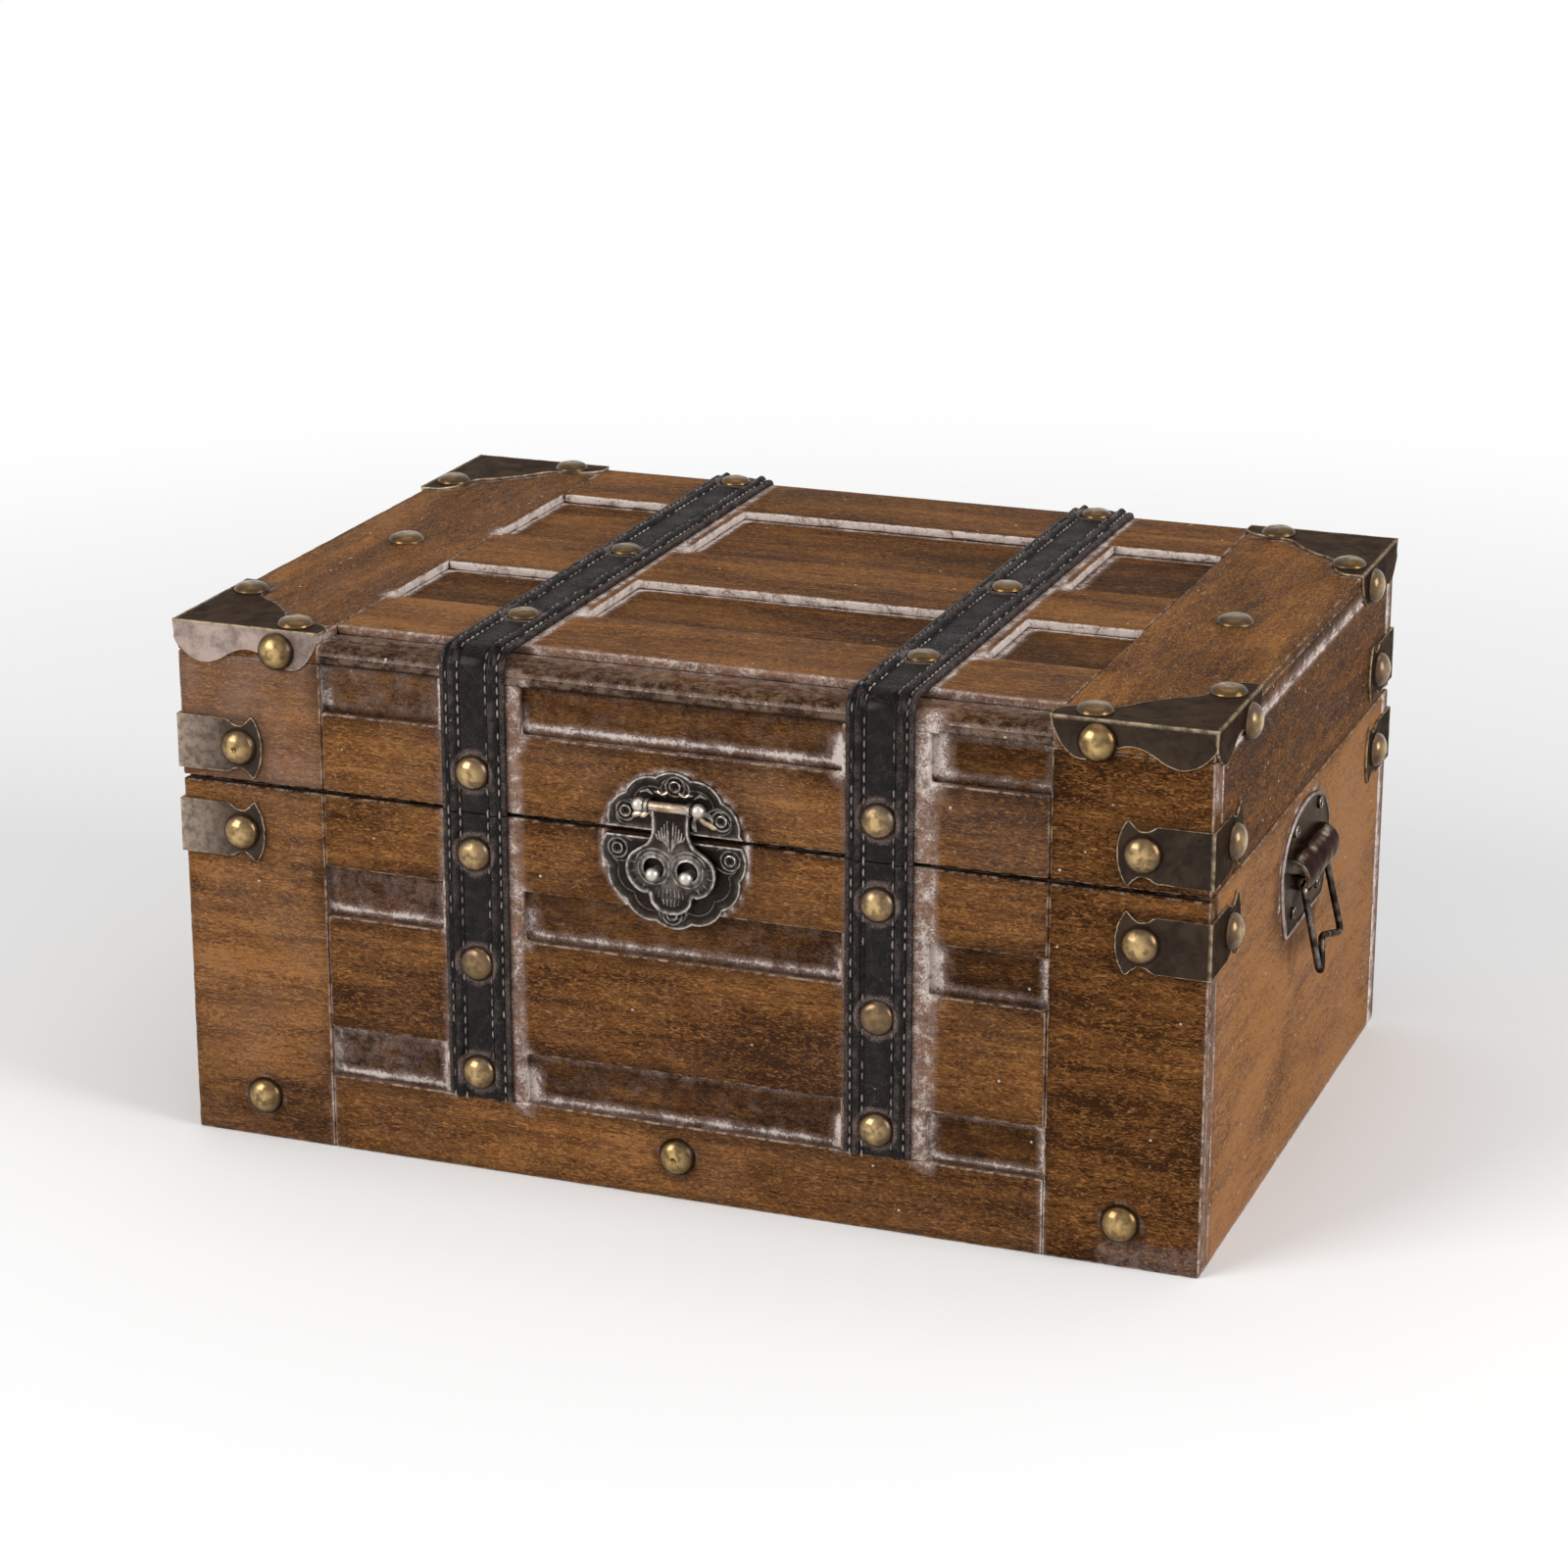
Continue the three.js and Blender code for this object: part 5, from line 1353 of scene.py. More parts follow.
def fold_sheet(maker, panels, seed):
    """Turns flat panels that share edges into dented sheet with a worn rim and a painted highlight along its
    folds; panels are lists of corners.
    """
    found = {}

    def vertex(corner):
        key = tuple(round(value, 3) for value in corner)
        if key not in found:
            found[key] = maker.verts.new(Vector(corner) * MM)
        return found[key]

    for corners in panels:
        maker.faces.new(list(dict.fromkeys(vertex(corner) for corner in corners)))
    folds = [edge for edge in maker.edges if len(edge.link_faces) == 2 and edge.calc_face_angle(0) > 1.0]
    bmesh.ops.bevel(maker, geom=folds, offset=FOLD_RADIUS * MM, segments=3, profile=0.5, affect="EDGES")
    bmesh.ops.inset_region(maker, faces=maker.faces[:], thickness=0.4 * MM, use_boundary=True)
    for axis in range(3):
        low = min(vert.co[axis] for vert in maker.verts)
        high = max(vert.co[axis] for vert in maker.verts)
        near_folds = (low + 1.3 * MM, high - 1.3 * MM) if high - low > 4 * MM else ()
        for level in (*near_folds, *np.arange(low + 3 * MM, high - 1 * MM, 3 * MM)):
            slice_at(maker, axis, float(level))
    maker.normal_update()
    rim = value_layer(maker, "rim")
    # The cut edge is bright with wear; the folds get a painted highlight line.
    for vert in maker.verts:
        folded = max(abs(value) for value in vert.normal) < 0.97
        vert[rim] = 0.9 if any(edge.is_boundary for edge in vert.link_edges) else 0.62 * folded
    for vert in maker.verts:
        dent = 0.1 * wobble(vert.co / MM, 4.5, seed) - 0.1
        vert.co += vert.normal * dent * MM


SHEET_FINISH = (("SOLIDIFY", {"thickness": 0.75 * MM, "offset": -1.0, "use_even_offset": True}),
                ("BEVEL", {"width": 0.12 * MM, "segments": 2, "limit_method": "ANGLE",
                           "angle_limit": math.radians(50)}))
BRACKET_FLANGE = [(1, 0), (.98, .3), (.92, .72), (.84, .96), (.74, .94), (.63, .7), (.52, .58), (.42, .66),
                  (.3, .92), (.2, 1), (.1, .86), (.03, .6), (0, .42)]
FLANGE_DROP = 12.6
WRAP_HALF = 8.5
WRAP_END = [(.5, 1.0), (.6, .99), (.68, .84), (.76, .8), (.83, .95), (.9, 1.14), (.96, .78), (1.0, .3)]
WRAP_END += [(reach, -up) for reach, up in WRAP_END[::-1]]


def bracket_panels():
    """Top plate and two flanges of the front right corner bracket."""
    x, y, z = HALF_WIDTH + SHEET, FRONT - SHEET, TOP + SHEET
    flange = [(a * BRACKET_REACH, z - b * FLANGE_DROP) for a, b in BRACKET_FLANGE]
    top = smooth_line([(x - a * BRACKET_REACH, y + b * BRACKET_REACH, z) for a, b in BRACKET_TOP], 3)
    front = smooth_line([(x - reach, y, level) for reach, level in flange], 4)
    side = smooth_line([(x, y + reach, level) for reach, level in flange], 4)
    corner = Vector((x, y, z))
    return [[corner, *top[::-1]], [corner, *front], [corner, *side[::-1]]]


def wrap_panels(level):
    """Front and side of a corner wrap at the front right corner."""
    x, y = HALF_WIDTH + SHEET, FRONT - SHEET
    parts = []
    for reach, spot in ((28.4, lambda a, b: (x - a, y, level + b)),
                        (31.9, lambda a, b: (x, y + a, level + b))):
        line = [(0, WRAP_HALF), (.25 * reach, WRAP_HALF)]
        for a, b, _ in smooth_line([(a * reach, b * WRAP_HALF, 0) for a, b in WRAP_END], 4):
            bite = 0.5 * max(0.0, wobble((a, b, level), 1.7, reach))
            line.append((a - bite, b * (1 - 0.05 * abs(wobble((a, b, level), 1.4, reach + 9)))))
        line += [(.25 * reach, -WRAP_HALF), (0, -WRAP_HALF)]
        parts.append([Vector(spot(a, b)) for a, b in line])
    return [parts[0], parts[1][::-1]]


def mirrored(panels, sign_x, sign_y):
    """The same panels at another corner, with their direction kept outward."""
    moved = [[Vector((x * sign_x, y * sign_y, z)) for x, y, z in panel] for panel in panels]
    return [panel[::-1] for panel in moved] if sign_x * sign_y < 0 else moved


def bloom_by(maker, amount):
    """Stores how much pale bloom each spot of a sheet carries."""
    bloom = value_layer(maker, "bloom")
    for vert in maker.verts:
        vert[bloom] = amount(vert.co / MM)


class CHEST_OT_corners(bpy.types.Operator):
    """Presses the corner brackets and corner wraps"""
    bl_idname = "chest.corners"
    bl_label = "Corner fittings"

    def execute(self, context):
        fittings = [(bracket_panels(), "lid_corner_bracket", "lid"),
                    (wrap_panels(LID_WRAP_Z), "lid_corner_wrap", "lid"),
                    (wrap_panels(BODY_WRAP_Z), "body_corner_wrap", "chest")]
        face = FRONT - .4
        for sign_x, side in ((-1, "left"), (1, "right")):
            for sign_y, end in ((1, "front"), (-1, "rear")):
                pale = side == "left" and end == "front"
                for number, (panels, node, body) in enumerate(fittings):
                    bracket = node == "lid_corner_bracket"
                    maker = bmesh.new()
                    fold_sheet(maker, mirrored(panels, sign_x, sign_y), number + sign_x + 2.5 * sign_y)
                    bloom, rim = (value_layer(maker, layer) for layer in ("bloom", "rim"))
                    for vert in maker.verts:
                        place = vert.co / MM
                        vert[bloom] = .06 if pale or place.z > TOP + .3 else .03
                        if pale and place.y < face and bracket and place.z < TOP + .3:
                            vert[bloom] = 1.0 if place.x < -130 else .6
                        if pale and place.y < face and not bracket:
                            vert[bloom] = .06 + .42 * float(ease(-140, -168, place.x))
                            vert[rim] = max(vert[rim], .3 * float(ease(-140, -166, place.x)))
                    finish_piece(f"{node}_{end}_{side}_sheet", maker, "corner_bronze", body, "dark_bronze",
                                 [f"{node}_{end}_{side}"], SHEET_FINISH, sharp=45.0)
        return {"FINISHED"}


# Stamped plates

def inset_loop(points, distance):
    """The closed loop moved inwards; points run anticlockwise."""
    points = [Vector(point) for point in points]
    moved = []
    for before, here, after in zip(points[-1:] + points[:-1], points, points[1:] + points[:1]):
        a, b = (here - before).normalized(), (after - here).normalized()
        square = Vector((-a.y, a.x))
        inward = Vector((-a.y - b.y, a.x + b.x))
        if inward.length < 1e-6:
            inward = square
        inward = inward.normalized()
        moved.append(here + inward * (distance / max(0.55, inward.dot(square))))
    return moved


def stamp_plate(maker, outline, steps, place, holes=()):
    """A closed plate with raised and sunken loops; steps are (inset, height, rim), place maps to space."""
    def loop(points, height, shine):
        return add_ring(maker, [place(x, y, height) for x, y in points], shine)

    def cap(rings):
        pairs = [pair for ring in rings for pair in zip(ring, ring[1:] + ring[:1])]
        edges = [maker.edges.get(pair) or maker.edges.new(pair) for pair in pairs]
        bmesh.ops.triangle_fill(maker, use_beauty=True, use_dissolve=False, edges=edges)

    base = loop(outline, 0, 0)
    rings = [base]
    for inset, height, shine in steps:
        rings.append(loop(inset_loop(outline, inset) if inset else outline, height, shine))
    skin(maker, rings, capped=False)
    floor_height = steps[-1][1]
    lower, upper = [base], [rings[-1]]
    for centre, radius, lip in holes:
        circle, wide = ([around(centre, reach, 15 * k) for k in range(24)] for reach in (radius, radius + .7))
        sides = [loop(circle, 0, 0), loop(circle, floor_height + lip, .8), loop(wide, floor_height, .3)]
        skin(maker, sides, capped=False)
        lower.append(sides[0])
        upper.append(sides[-1])
    cap(lower)
    cap(upper)
    outward(maker)


def add_ridge(maker, points, radius, place, shine, count=6):
    """A small raised line along points on a plate, sunk by half."""
    rings = []
    points = [Vector(point) for point in points]
    last = len(points) - 1
    for i, point in enumerate(points):
        run = (points[min(i + 1, last)] - points[max(i - 1, 0)]).normalized()
        across = Vector((-run.y, run.x))
        taper = radius * (0.45 if i in (0, last) else 1.0)
        section = [around((0, 0), taper, 360 * k / count) for k in range(count)]
        spots = [place(*(point + across * sideways), height) for sideways, height in section]
        rings.append(add_ring(maker, spots, shine))
    outward(maker, skin(maker, rings))


def arc(centre, radius, first, last, count):
    """Points on part of a circle, angles in degrees."""
    return [around(centre, radius, angle) for angle in np.linspace(first, last, count)]


def scalloped(centre, radius, depth):
    """A disc with a scalloped edge, anticlockwise."""
    lobes, count = 12, 168
    points = []
    for i in range(count):
        angle = 360 * i / count
        lobe = abs(math.cos(math.radians(lobes * angle / 2)))
        points.append(around(centre, radius * (1 - depth + depth * lobe ** .8), angle))
    return points


def cut_loop(points, level, keep_above):
    """The part of a closed loop above or below a level."""
    sign = 1 if keep_above else -1
    kept = []
    for a, b in zip(points, points[1:] + points[:1]):
        inside_a, inside_b = sign * (a[1] - level) >= 0, sign * (b[1] - level) >= 0
        if inside_a:
            kept.append(a)
        if inside_a != inside_b:
            share = (level - a[1]) / (b[1] - a[1])
            kept.append((a[0] + share * (b[0] - a[0]), level))
    return kept


def on_front(depth, level=0.0):
    """Maps plate coordinates to the front of the chest: how far before the wood, and from which level up."""
    return lambda across, up, height: Vector((LATCH_X + across, FRONT - depth - height, level + up))


def screw_places(reach, level, angles):
    """Places of the screws on half of the latch plate."""
    return [(reach * math.cos(angle), level + 18.4 * math.sin(angle)) for angle in np.radians(angles)]


UPPER_CENTRE, LOWER_CENTRE = LATCH_Z + PLATE_OFFSET, LATCH_Z - PLATE_OFFSET
UPPER_SCREWS = screw_places(17.6, UPPER_CENTRE, (31, 88, 149))
LOWER_SCREWS = screw_places(17.8, LOWER_CENTRE, (2, 178, 268))


def latch_plate(screws, centre_z, cut, above):
    """Half of the scalloped plate with cups round its screws and curls beside them."""
    maker = bmesh.new()
    outline = cut_loop(scalloped((0, centre_z), 22.9, .055), cut, above)
    steps = [(0, .55, .5), (.12, .95, 1), (.62, 1.0, .9), (.95, .55, .1), (2.2, .5, .0)]
    stamp_plate(maker, outline, steps, on_front(0))
    place = on_front(.5)
    for x, z in screws:
        add_ridge(maker, arc((x, z), 3.0, 0, 360, 20), .42, place, .55)
        facing = math.atan2(z - centre_z, x)
        for turn in (-1, 1):
            curl = []
            for k in range(6):
                angle = facing + turn * math.radians(60 + 17 * k)
                curl.append((x + (3.6 + .35 * k) * math.cos(angle), z + (3.6 + .2 * k) * math.sin(angle)))
            add_ridge(maker, curl, .3, place, .45)
    inner = [point for point in scalloped((0, centre_z), 19.6, .09)
             if (point[1] > cut + 1.5 if above else point[1] < cut - 1.5)]
    start = max(range(len(inner)), key=lambda i: (Vector(inner[i]) - Vector(inner[i - 1])).length)
    add_ridge(maker, inner[start:] + inner[:start], .22, place, .35)
    return maker


# Right half of the hasp, from its tip to its neck, measured from the pin
HASP_HALF = [(0, -33.6), (3.4, -32.9), (6.1, -30.6), (7.0, -27.6), (8.6, -27.6), (11.4, -26.2), (13.6, -23.2),
             (14.2, -19.4), (12.9, -16.0), (10.2, -13.7), (7.6, -12.0), (6.2, -9.6), (5.75, -7.4), (5.8, -4),
             (5.8, -1.2)]


def hasp_outline():
    """Round the hasp anticlockwise: tip, right lobe, neck, left lobe."""
    right = [tuple(point) for point in smooth_line(HASP_HALF, 4)]
    return right + [(-x, rise) for x, rise in right[:0:-1]]


def add_hasp(maker):
    """The stamped hasp with its rim, eyes, fan of ribs, comb lines and web; all measured from the pin."""
    back = FRONT - HASP_BACK
    steps = [(0, .8, .6), (.12, 1.15, 1), (.7, 1.18, 1), (1.05, .72, .15), (1.6, .7, 0)]
    eyes = [((side * EYE_X, EYE_RISE), 3.3, .35) for side in (-1, 1)]
    stamp_plate(maker, hasp_outline(), steps, on_front(back, PIN_Z), eyes)
    face = on_front(back + .7, PIN_Z)
    for side in (-1, 1):
        for k in range(5):
            foot, head = (side * (.4 + .2 * k), -14.2 + .7 * k), (side * (1.0 + .9 * k), -4.6 - 1.05 * k)
            middle = (side * (.8 + .85 * k), (foot[1] + head[1]) / 2)
            add_ridge(maker, [foot, middle, head], .4, face, .85)
        for k, (first, last) in enumerate(((35, 200), (20, 150), (-70, 20), (190, 290))):
            turns = (first, last) if side > 0 else (180 - first, 180 - last)
            add_ridge(maker, arc((side * EYE_X, EYE_RISE), 4.9 + 1.2 * (k == 1), *turns, 9), .34, face, .7)
        for k in range(6):
            angle = math.radians(-60 + 24 * k)
            ray = [(side * (EYE_X + reach * math.cos(angle)), rise + lift * math.sin(angle))
                   for reach, rise, lift in ((6.0, EYE_RISE, 6.0), (7.6, EYE_RISE - .2, 7.4))]
            add_ridge(maker, ray, .32, face, .6)
        add_ridge(maker, [(side * .6, -21.5), (side * 1.7, -23.4), (side * 3.2, -24.2)], .36, face, .75)
    for k in range(7):
        x = -3.9 + 1.3 * k
        droop = .05 * x * x
        add_ridge(maker, [(x * .92, -25.4 - droop), (x, -27.9 - droop * .6)], .36, face, .8)
    for k in range(5):
        x = -2.6 + 1.3 * k
        add_ridge(maker, [(x, -28.7), (x * .85, -31.0 + .08 * x * x)], .34, face, .75)
    add_web(maker, (11.4, 1.0, 2.6), (LATCH_X, HASP_BACK - .62, PIN_Z - 2.1))
    outward(maker)


def add_ears(maker):
    """The ears that hold the pin, and the horns and leaves that are stamped round them."""
    place = on_front(.5, PIN_Z)
    for side in (-1, 1):
        x = LATCH_X + side * 6.65
        add_collar(maker, [(1.42, -.5), (2.05, -.5), (2.1, .5), (1.42, .5)], 16, (x, PIN_Y, PIN_Z), RIGHT, .6)
        add_web(maker, (1.0, 2.8, 3.4), (x, FRONT - 1.9, PIN_Z))
        horn = arc((side * 9.6, -5.6), 3.4, 90 - side * 60, 90 + side * 130, 9)
        add_ridge(maker, horn, .75, place, 1.0)
        for radius, points in ((.6, ((6.6, 2.2), (8.4, 3.4), (10.6, 2.6))),
                               (.55, ((1.4, 3.6), (3.6, 2.7), (6.2, 3.1)))):
            add_ridge(maker, [(side * across, rise) for across, rise in points], radius, place, .9)
    outward(maker)


def add_leaves(maker):
    """Two curled leaves beside the pin and two curls above it."""
    place = on_front(.4, PIN_Z)
    for side, (across, up) in ((-1, (-13.2, -5.0)), (1, (13.6, -6.2))):
        path = [(side * 7.6, -2.6), (side * 9.4, -4.4), (across * .82, up * .82), (across, up)]
        add_ridge(maker, smooth_line(path, 3), 1.0, place, .8, 8)
    for side, first, last in ((-1, -20, -150), (1, 200, 330)):
        add_ridge(maker, arc((side * 3.4, 4.4), 1.9, first, last, 7), .6, place, .8, 8)


def add_ball(maker, place, radius):
    """A closed ball head."""
    angles = [math.pi * k / 10 for k in range(11)]
    profile = [(radius * math.sin(a), -radius * math.cos(a)) for a in angles]
    turned(maker, profile, 20, place, FORWARD, [.3] * 11)


class CHEST_OT_latch(bpy.types.Operator):
    """Builds the latch: two plates, ears, pin, hasp, posts and screws"""
    bl_idname = "chest.latch"
    bl_label = "Latch"

    def execute(self, context):
        pin = (LATCH_X, PIN_Y, PIN_Z)
        upper = latch_plate(UPPER_SCREWS, UPPER_CENTRE, 116.9, True)
        add_ears(upper)
        lower = latch_plate(LOWER_SCREWS, LOWER_CENTRE, 114.7, False)
        for name, maker, body, node in (("latch_upper", upper, "lid", "latch_upper_plate"),
                                        ("latch_lower", lower, "chest", "latch_lower_plate"),
                                        ("hasp", filled(add_hasp), "hasp", "hasp")):
            finish_piece(f"{name}_stamping", maker, "latch_pewter", body, "dark_pewter", [node])

        knuckle = bmesh.new()
        add_collar(knuckle, [(1.15, -6.0), (1.4, -6.0), (1.5, -5.8), (1.5, 5.8), (1.4, 6.0), (1.15, 6.0)],
                   20, pin, RIGHT, .3)
        outward(knuckle)
        finish_piece("hasp_knuckle", knuckle, "pin_brass", "hasp", "dark_pewter")

        barrel = bmesh.new()
        turned(barrel, [(0, -9.2), (1.05, -9.2), (1.05, -5.9), (1.1, -5.7), (1.1, -.25), (.95, 0), (1.1, .25),
                        (1.1, 5.7), (1.05, 5.9), (1.05, 9.2), (0, 9.2)], 16, pin, RIGHT)
        outward(barrel)
        finish_piece("latch_pin_barrel", barrel, "pin_brass", "lid", "antique_brass", ["latch_pin"])
        finish_piece("latch_leaves", filled(add_leaves), "pin_brass", "lid", "dark_pewter")

        for body, across, y, z in (("lid", 9.35, PIN_Y + .1, PIN_Z), ("chest", EYE_X, -115.45, PIN_Z - 21.2)):
            balls = bmesh.new()
            for x in (LATCH_X - across, LATCH_X + across):
                add_ball(balls, (x, y, z), 2.2)
                if body == "chest":
                    turned(balls, [(0, 0), (1.6, 0), (1.5, 3.2), (0, 3.2)], 14, (x, FRONT - .4, z), FORWARD)
            outward(balls)
            finish_piece(f"latch_balls_{body}", balls, "latch_silver", body, "dark_pewter")
        for body, screws in (("lid", UPPER_SCREWS), ("chest", LOWER_SCREWS)):
            places = [(LATCH_X + x, FRONT - .55, z) for x, z in screws]
            add_screws(f"latch_screws_{body}", places, FORWARD, body, "dark_pewter")
        return {"FINISHED"}


# Handles

BAIL_X, BAIL_Z = HALF_WIDTH + 3.6, 88.5
HOOD_X, HOOD_Z = HALF_WIDTH + .6, 92.5
BAIL_TILT = math.radians(13)


def on_side(sign, depth):
    """Maps plate coordinates to a side of the chest."""
    return lambda along, up, height: Vector((sign * (HALF_WIDTH + depth + height), along * sign, up))


def add_tube(maker, route, radius, shine):
    """A round wire along a route of points, closed at both ends; shine gives the worn share of each point."""
    rings = []
    side = None
    for i, spot in enumerate(route):
        run = (route[min(i + 1, len(route) - 1)] - route[max(i - 1, 0)]).normalized()
        side = (side - run * side.dot(run)).normalized() if side else run.orthogonal().normalized()
        other = run.cross(side)
        section = [around((0, 0), radius, 30 * k) for k in range(12)]
        rings.append(add_ring(maker, [spot + side * x + other * y for x, y in section], shine(spot)))
    skin(maker, rings)
    outward(maker)


def bail_wear(spot):
    """How bright the bail is rubbed at a spot."""
    return max(0.0, wobble(spot, 2.6, 3.3) + .15) * .9


def bail_route(sign):
    """Line of the bail wire with rounded bends and a kinked foot."""
    shank = [(8.3, 0), (11.3, 0), (13.1, .15), (14.0, 1.0), (14.3, 2.4), (14.6, 12)]
    foot = [(15.0, 19.8), (14.9, 22.4), (14.0, 23.6), (12.2, 23.6), (4.0, 21.2), (-2.6, 19.4), (-4.8, 19.1),
            (-6.2, 19.7), (-7.2, 21.0), (-10.9, 25.5), (-12.2, 26.7), (-13.5, 27.0), (-14.7, 26.1),
            (-15.0, 24.2)]
    whole = shank + foot + [(-across, down) for across, down in shank[::-1]]
    lean, fall = math.sin(BAIL_TILT), math.cos(BAIL_TILT)
    return smooth_line([(sign * (BAIL_X + down * lean), across * sign, BAIL_Z - down * fall)
                        for across, down in whole], 4)


PLATE_FOOT = [(28.6, 14.5), (26.2, 7.0), (23.2, .9), (21.6, 0)]  # half of the lower edge, from its level
LUG_Y = 10.8


def add_handle_plate(maker, sign):
    """The pressed plate of a handle, with the two lugs that hold the bail."""
    bottom = HANDLE_Z - 19.5
    arch = [(29.6 * math.cos(a), HANDLE_Z + 1.5 + 17.7 * math.sin(a)) for a in np.linspace(0, math.pi, 40)]
    foot = [(-along, bottom + up) for along, up in PLATE_FOOT] + [(0, bottom + .5)]
    foot += [(along, bottom + up) for along, up in PLATE_FOOT[::-1]]
    steps = [(0, .6, 1), (.15, .98, 1), (.75, 1.0, 1), (1.2, .8, 0), (3.0, .78, 0)]
    stamp_plate(maker, arch + foot, steps, on_side(sign, 0))
    rim, bloom = value_layer(maker, "rim"), value_layer(maker, "bloom")
    for vert in maker.verts:
        along = vert.co.y * sign / MM
        vert[bloom] = 1.0 if vert[rim] > .9 and along < 6 else (.3 if along < -24 else .05)
    for y in (-LUG_Y, LUG_Y):
        add_collar(maker, [(1.45, -1.5), (2.2, -1.5), (2.3, -1.3), (2.3, 1.3), (2.2, 1.5), (1.45, 1.5)], 14,
                   (sign * BAIL_X, y, BAIL_Z), BACKWARD, .3)
        add_web(maker, (1.5, 2.8, 4.2), (sign * (HALF_WIDTH + 1.2), y, BAIL_Z))
    outward(maker)


HOOD_HALF, HOOD_RIBS = 20, 15


def add_hood(maker, sign):
    """The pressed hood over the bail's ends: a part of a tube with a thick lip and a painted highlight streak
    along its crest.
    """
    rim = value_layer(maker, "rim")
    rows = []
    steps = 30
    for i in range(steps + 1):
        along = -HOOD_HALF + 2 * HOOD_HALF * i / steps
        taper = 1 - .07 * abs(along / HOOD_HALF) ** 5
        drift = 9.5 + 1.6 * wobble((along, 0, 0), 7.0, 1.2)
        # gleam and glint paint a wobbly highlight streak along the hood's crest through the rim value.
        gleam = max(0.0, wobble((along, 3, 0), 5.0, 2.0) + .4)
        angles = [math.radians(-25 + 119 * k / 14) for k in range(HOOD_RIBS)]
        section = []
        for k, angle in enumerate(angles):
            lip = 0.25 * max(0.0, 1 - k / 1.5)
            glint = max(0.0, 1 - abs(k - drift) / 1.7) * gleam
            section.append((6.45 * taper + lip, angle, .9 if k < 1 else min(1.0, 1.4 * glint)))
        section += [(5.35 * taper, angle, .0) for angle in angles[::-1]]
        row = []
        for radius, angle, shine in section:
            radius += 0.3 * wobble((along, 9 * angle, radius), 4.5, 6.0) - 0.15
            vert = maker.verts.new(Vector((sign * (HOOD_X + radius * math.cos(angle)), along * sign,
                                           HOOD_Z + radius * math.sin(angle))) * MM)
            vert[rim] = 1.0 if i in (0, steps) else shine
            row.append(vert)
        rows.append(row)
    skin(maker, rows, capped=False)
    for row in (rows[0], rows[-1]):
        for k in range(HOOD_RIBS - 1):
            maker.faces.new((row[k], row[k + 1], row[-2 - k], row[-1 - k]))
    outward(maker)


class CHEST_OT_handles(bpy.types.Operator):
    """Builds the side handles: plates, hoods, lugs, screws and bails"""
    bl_idname = "chest.handles"
    bl_label = "Side handles"

    def execute(self, context):
        for sign, side in ((-1, "left"), (1, "right")):
            finish_piece(f"handle_plate_{side}_stamping", filled(add_handle_plate, sign), "handle_bronze",
                         "chest", "dark_bronze", [f"handle_plate_{side}"])
            finish_piece(f"handle_hood_{side}", filled(add_hood, sign), "handle_bronze", "chest",
                         "dark_bronze", sharp=50.0)
            bail = f"bail_{side}"
            finish_piece(f"{bail}_wire", filled(add_tube, bail_route(sign), 1.08, bail_wear), "bail_iron",
                         bail, "dark_bronze", [bail])
            places = [(sign * (HALF_WIDTH + .75), a * 15, HANDLE_Z + b * 13)
                      for a, b in ((-1, 1), (1, 1), (-1, -1), (1, -1))]
            add_screws(f"handle_screws_{side}", places, (sign, 0, 0), "chest", "dark_bronze")
        return {"FINISHED"}


HINGE_FINISH = (("BEVEL", {"width": .22 * MM, "segments": 2, "limit_method": "ANGLE",
                           "angle_limit": math.radians(40)}),)


class CHEST_OT_hinges(bpy.types.Operator):
    """Softens the edges of the butt hinges and gives them their bronze"""
    bl_idname = "chest.hinges"
    bl_label = "Hinges"

    def execute(self, context):
        middles = []
        for body, leaf in (("chest", "body"), ("lid", "lid")):
            for side in ("left", "right"):
                node = f"hinge_{leaf}_leaf_{side}"
                maker = bmesh.new()
                maker.from_mesh(frame["nodes"][node].data)
                bmesh.ops.remove_doubles(maker, verts=maker.verts, dist=0.002 * MM)
                bmesh.ops.dissolve_limit(maker, angle_limit=math.radians(2), verts=maker.verts,
                                         edges=maker.edges)
                for layer in ("rim", "bloom"):
                    value_layer(maker, layer)
                finish_piece(f"{node}_soft", maker, "corner_bronze", body, "dark_bronze", [node],
                             HINGE_FINISH)
        for side in ("left", "right"):
            low, high = node_box(f"hinge_body_leaf_{side}")
            middle, third = (low[0] + high[0]) / 2, (high[0] - low[0]) / 3
            middles += [middle - third, middle + third]
        for body, leaf, z in (("chest", "body", BODY_TOP - 9), ("lid", "lid", LID_BOTTOM + 9)):
            add_screws(f"hinge_screws_{leaf}", [(x, BACK + 1.2, z) for x in middles], BACKWARD, body,
                       "dark_bronze", 1.15)
        return {"FINISHED"}


# Stage

MIDDLE_Z = 82.5
SHIFT_ACROSS, SHIFT_UP = 7.003, 14.438  # how far the camera's aim is off the middle of the chest


def add_lamp(name, place, target, size, power):
    lamp = bpy.data.lights.new(name, "AREA")
    lamp.shape = "RECTANGLE"
    lamp.size, lamp.size_y = size
    lamp.energy = power
    holder = link_object(name, lamp)
    holder.location = place
    holder.rotation_euler = (Vector(target) - Vector(place)).to_track_quat("-Z", "Y").to_euler()


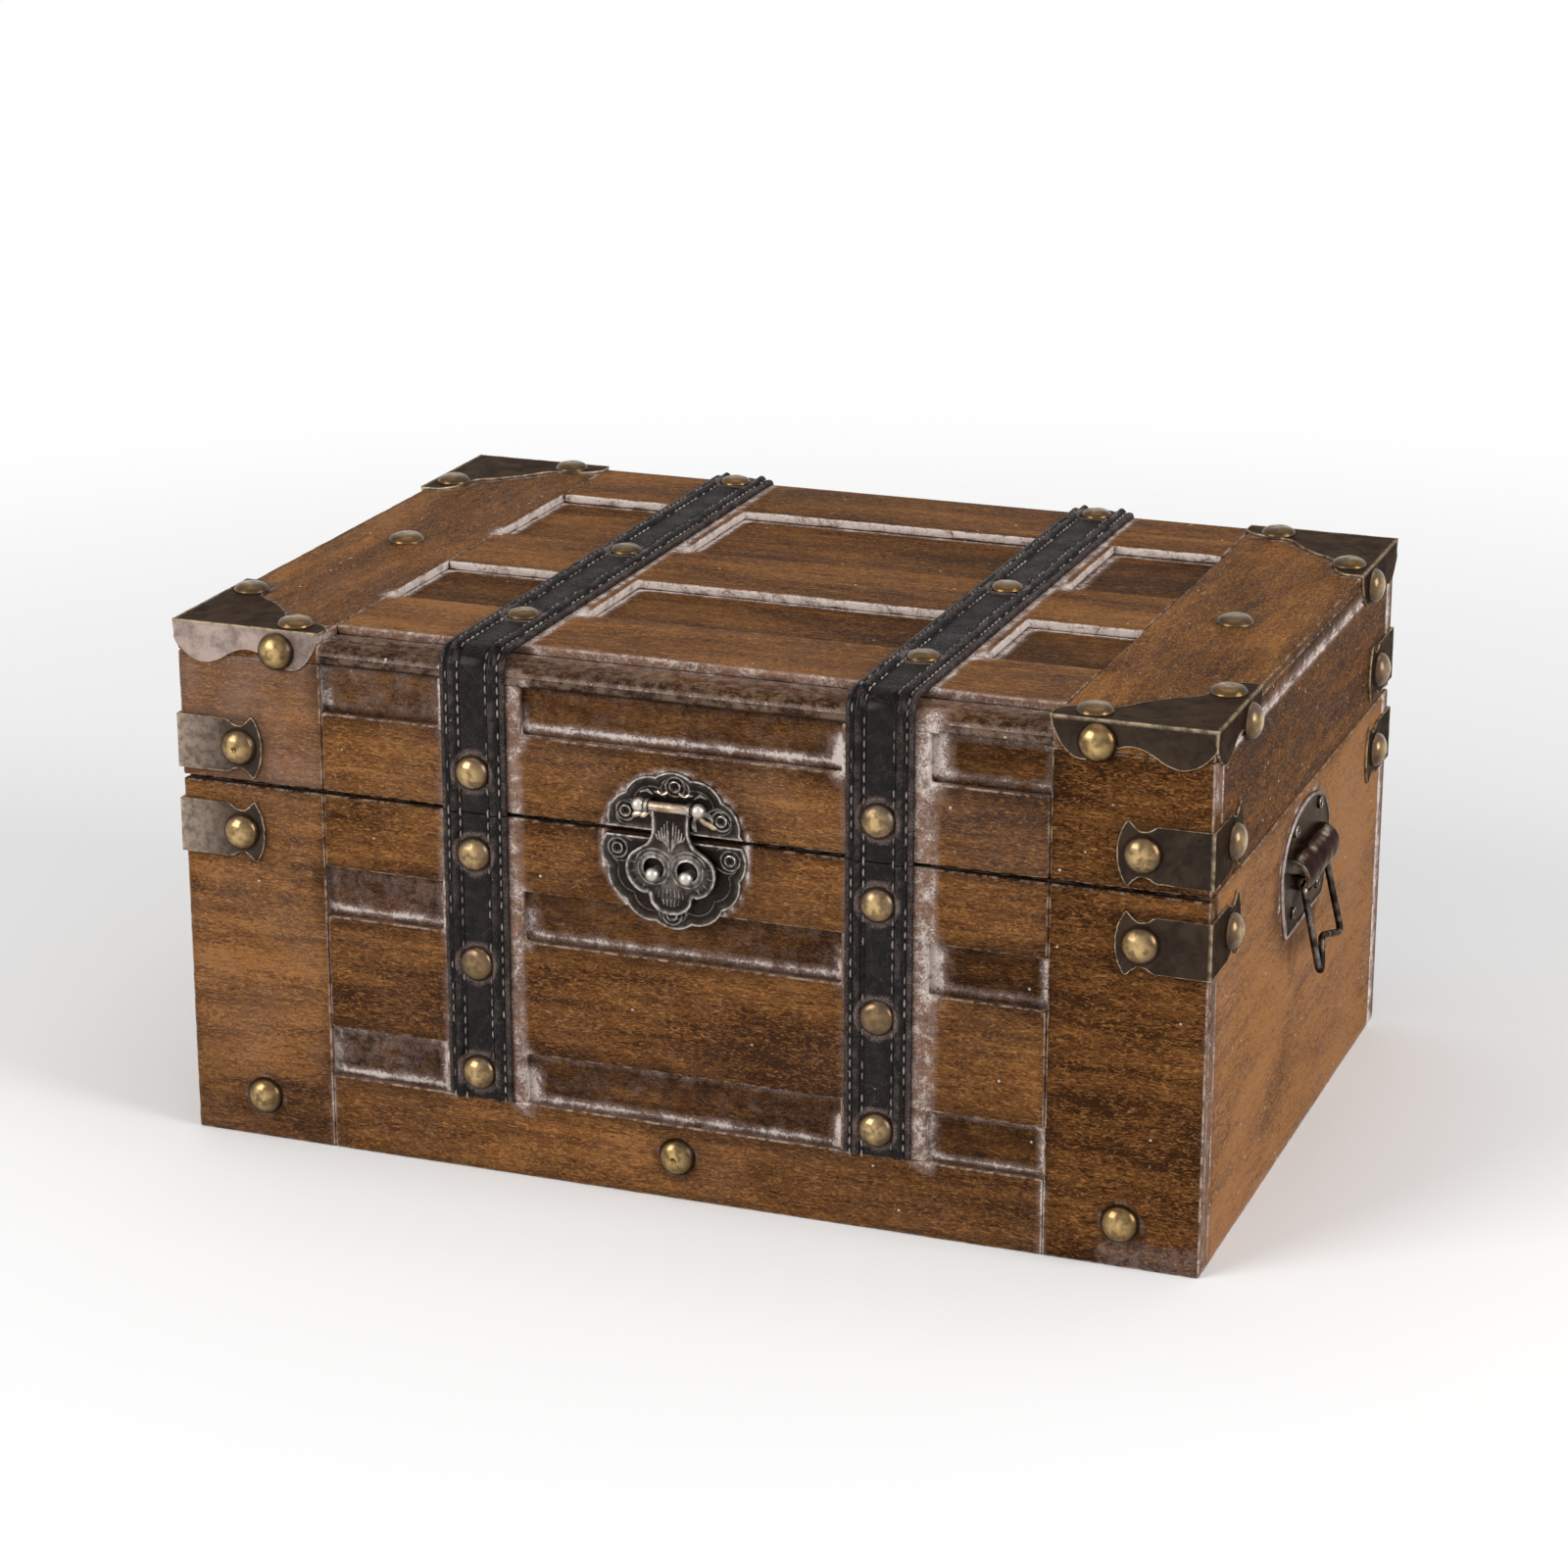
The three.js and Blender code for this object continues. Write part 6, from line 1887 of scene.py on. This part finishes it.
class CHEST_OT_stage(bpy.types.Operator):
    """Sets the floor, the soft lamps and the camera"""
    bl_idname = "chest.stage"
    bl_label = "Stage"

    def execute(self, context):
        scene, stage = context.scene, context.scene.chest_stage
        maker = bmesh.new()
        bmesh.ops.create_circle(maker, cap_ends=True, cap_tris=True, segments=96, radius=1.3)
        floor = new_object("studio_floor", maker)
        nodes, shader = new_material("floor_paper")
        away = nodes.add("ShaderNodeVectorMath", {0: nodes.place()}, operation="LENGTH").outputs["Value"]
        nodes.fill(shader, {"Base Color": stage.floor, "Roughness": 0.9, "Specular IOR Level": 0.1,
                            "Alpha": nodes.ease(away, 0.34, 1.0, 1.0, 0.0)})
        floor.data.materials.append(bpy.data.materials["floor_paper"])

        world = bpy.data.worlds.new("studio_light")
        world.use_nodes = True
        nodes = Nodes(world.node_tree)
        ray = nodes.add("ShaderNodeLightPath").outputs
        seen = nodes.math("MAXIMUM", nodes.math("MAXIMUM", ray["Is Camera Ray"], ray["Is Glossy Ray"]),
                          ray["Is Transmission Ray"])
        nodes.fill(world.node_tree.nodes["Background"].inputs,
                   {"Color": (1, 1, 1, 1), "Strength": nodes.ease(seen, 0.0, 1.0, stage.ambient, 1.0)})
        scene.world = world

        add_lamp("key_lamp", (-1.25, -1.7, 1.15), (0, 0, .08), (1.2, 1.2), stage.key)
        add_lamp("fill_lamp", (1.9, -.35, .9), (.1, 0, .08), (.9, 1.1), stage.fill)
        add_lamp("top_lamp", (0, .1, 1.9), (0, 0, .1), (1.6, 1.4), stage.overhead)

        across = Vector((math.cos(stage.azimuth), math.sin(stage.azimuth), 0))
        toward = Vector((math.sin(stage.azimuth) * math.cos(stage.elevation),
                         -math.cos(stage.azimuth) * math.cos(stage.elevation), math.sin(stage.elevation)))
        up = toward.cross(across)
        camera = bpy.data.cameras.new("photo_camera")
        camera.sensor_width = 36.0
        camera.lens = stage.lens
        camera.clip_start = 0.05
        holder = link_object("photo_camera", camera)
        centre = Vector((0, 0, MIDDLE_Z * MM))
        holder.location = centre - across * SHIFT_ACROSS * MM + up * SHIFT_UP * MM + toward * stage.distance
        holder.rotation_euler = Matrix((across, up, toward)).transposed().to_euler()
        scene.camera = holder
        scene.view_settings.view_transform = "Standard"
        return {"FINISHED"}


class CHEST_PT_panel(bpy.types.Panel):
    """Lists the chest's settings and the steps that build it"""
    bl_label = "Treasure Chest"
    bl_idname = "CHEST_PT_panel"
    bl_space_type = "VIEW_3D"
    bl_region_type = "UI"
    bl_category = "Chest"

    def draw(self, context):
        for group in (getattr(context.scene, name) for name in GROUPS):
            column = self.layout.column(align=True)
            for name in group.__annotations__:
                column.prop(group, name)
        for operator in OPERATORS:
            self.layout.operator(operator.bl_idname)


OPERATORS = (CHEST_OT_boards, CHEST_OT_straps, CHEST_OT_nails, CHEST_OT_corners, CHEST_OT_latch,
             CHEST_OT_handles, CHEST_OT_hinges, CHEST_OT_stage)
GROUPS = {"chest_wood": ChestWood, "chest_leather": ChestLeather, "chest_metal": ChestMetal,
          "chest_stage": ChestStage}


def register():
    for kind in (*GROUPS.values(), *OPERATORS, CHEST_PT_panel):
        bpy.utils.register_class(kind)
    for name, kind in GROUPS.items():
        setattr(bpy.types.Scene, name, PointerProperty(type=kind))


def unregister():
    for name in GROUPS:
        delattr(bpy.types.Scene, name)
    for kind in (CHEST_PT_panel, *OPERATORS[::-1], *list(GROUPS.values())[::-1]):
        bpy.utils.unregister_class(kind)


def main():
    """Builds the whole dressed chest."""
    register()
    build_materials(bpy.context.scene)
    for operator in OPERATORS:
        group, name = operator.bl_idname.split(".")
        getattr(getattr(bpy.ops, group), name)()


if __name__ == "__main__":
    main()
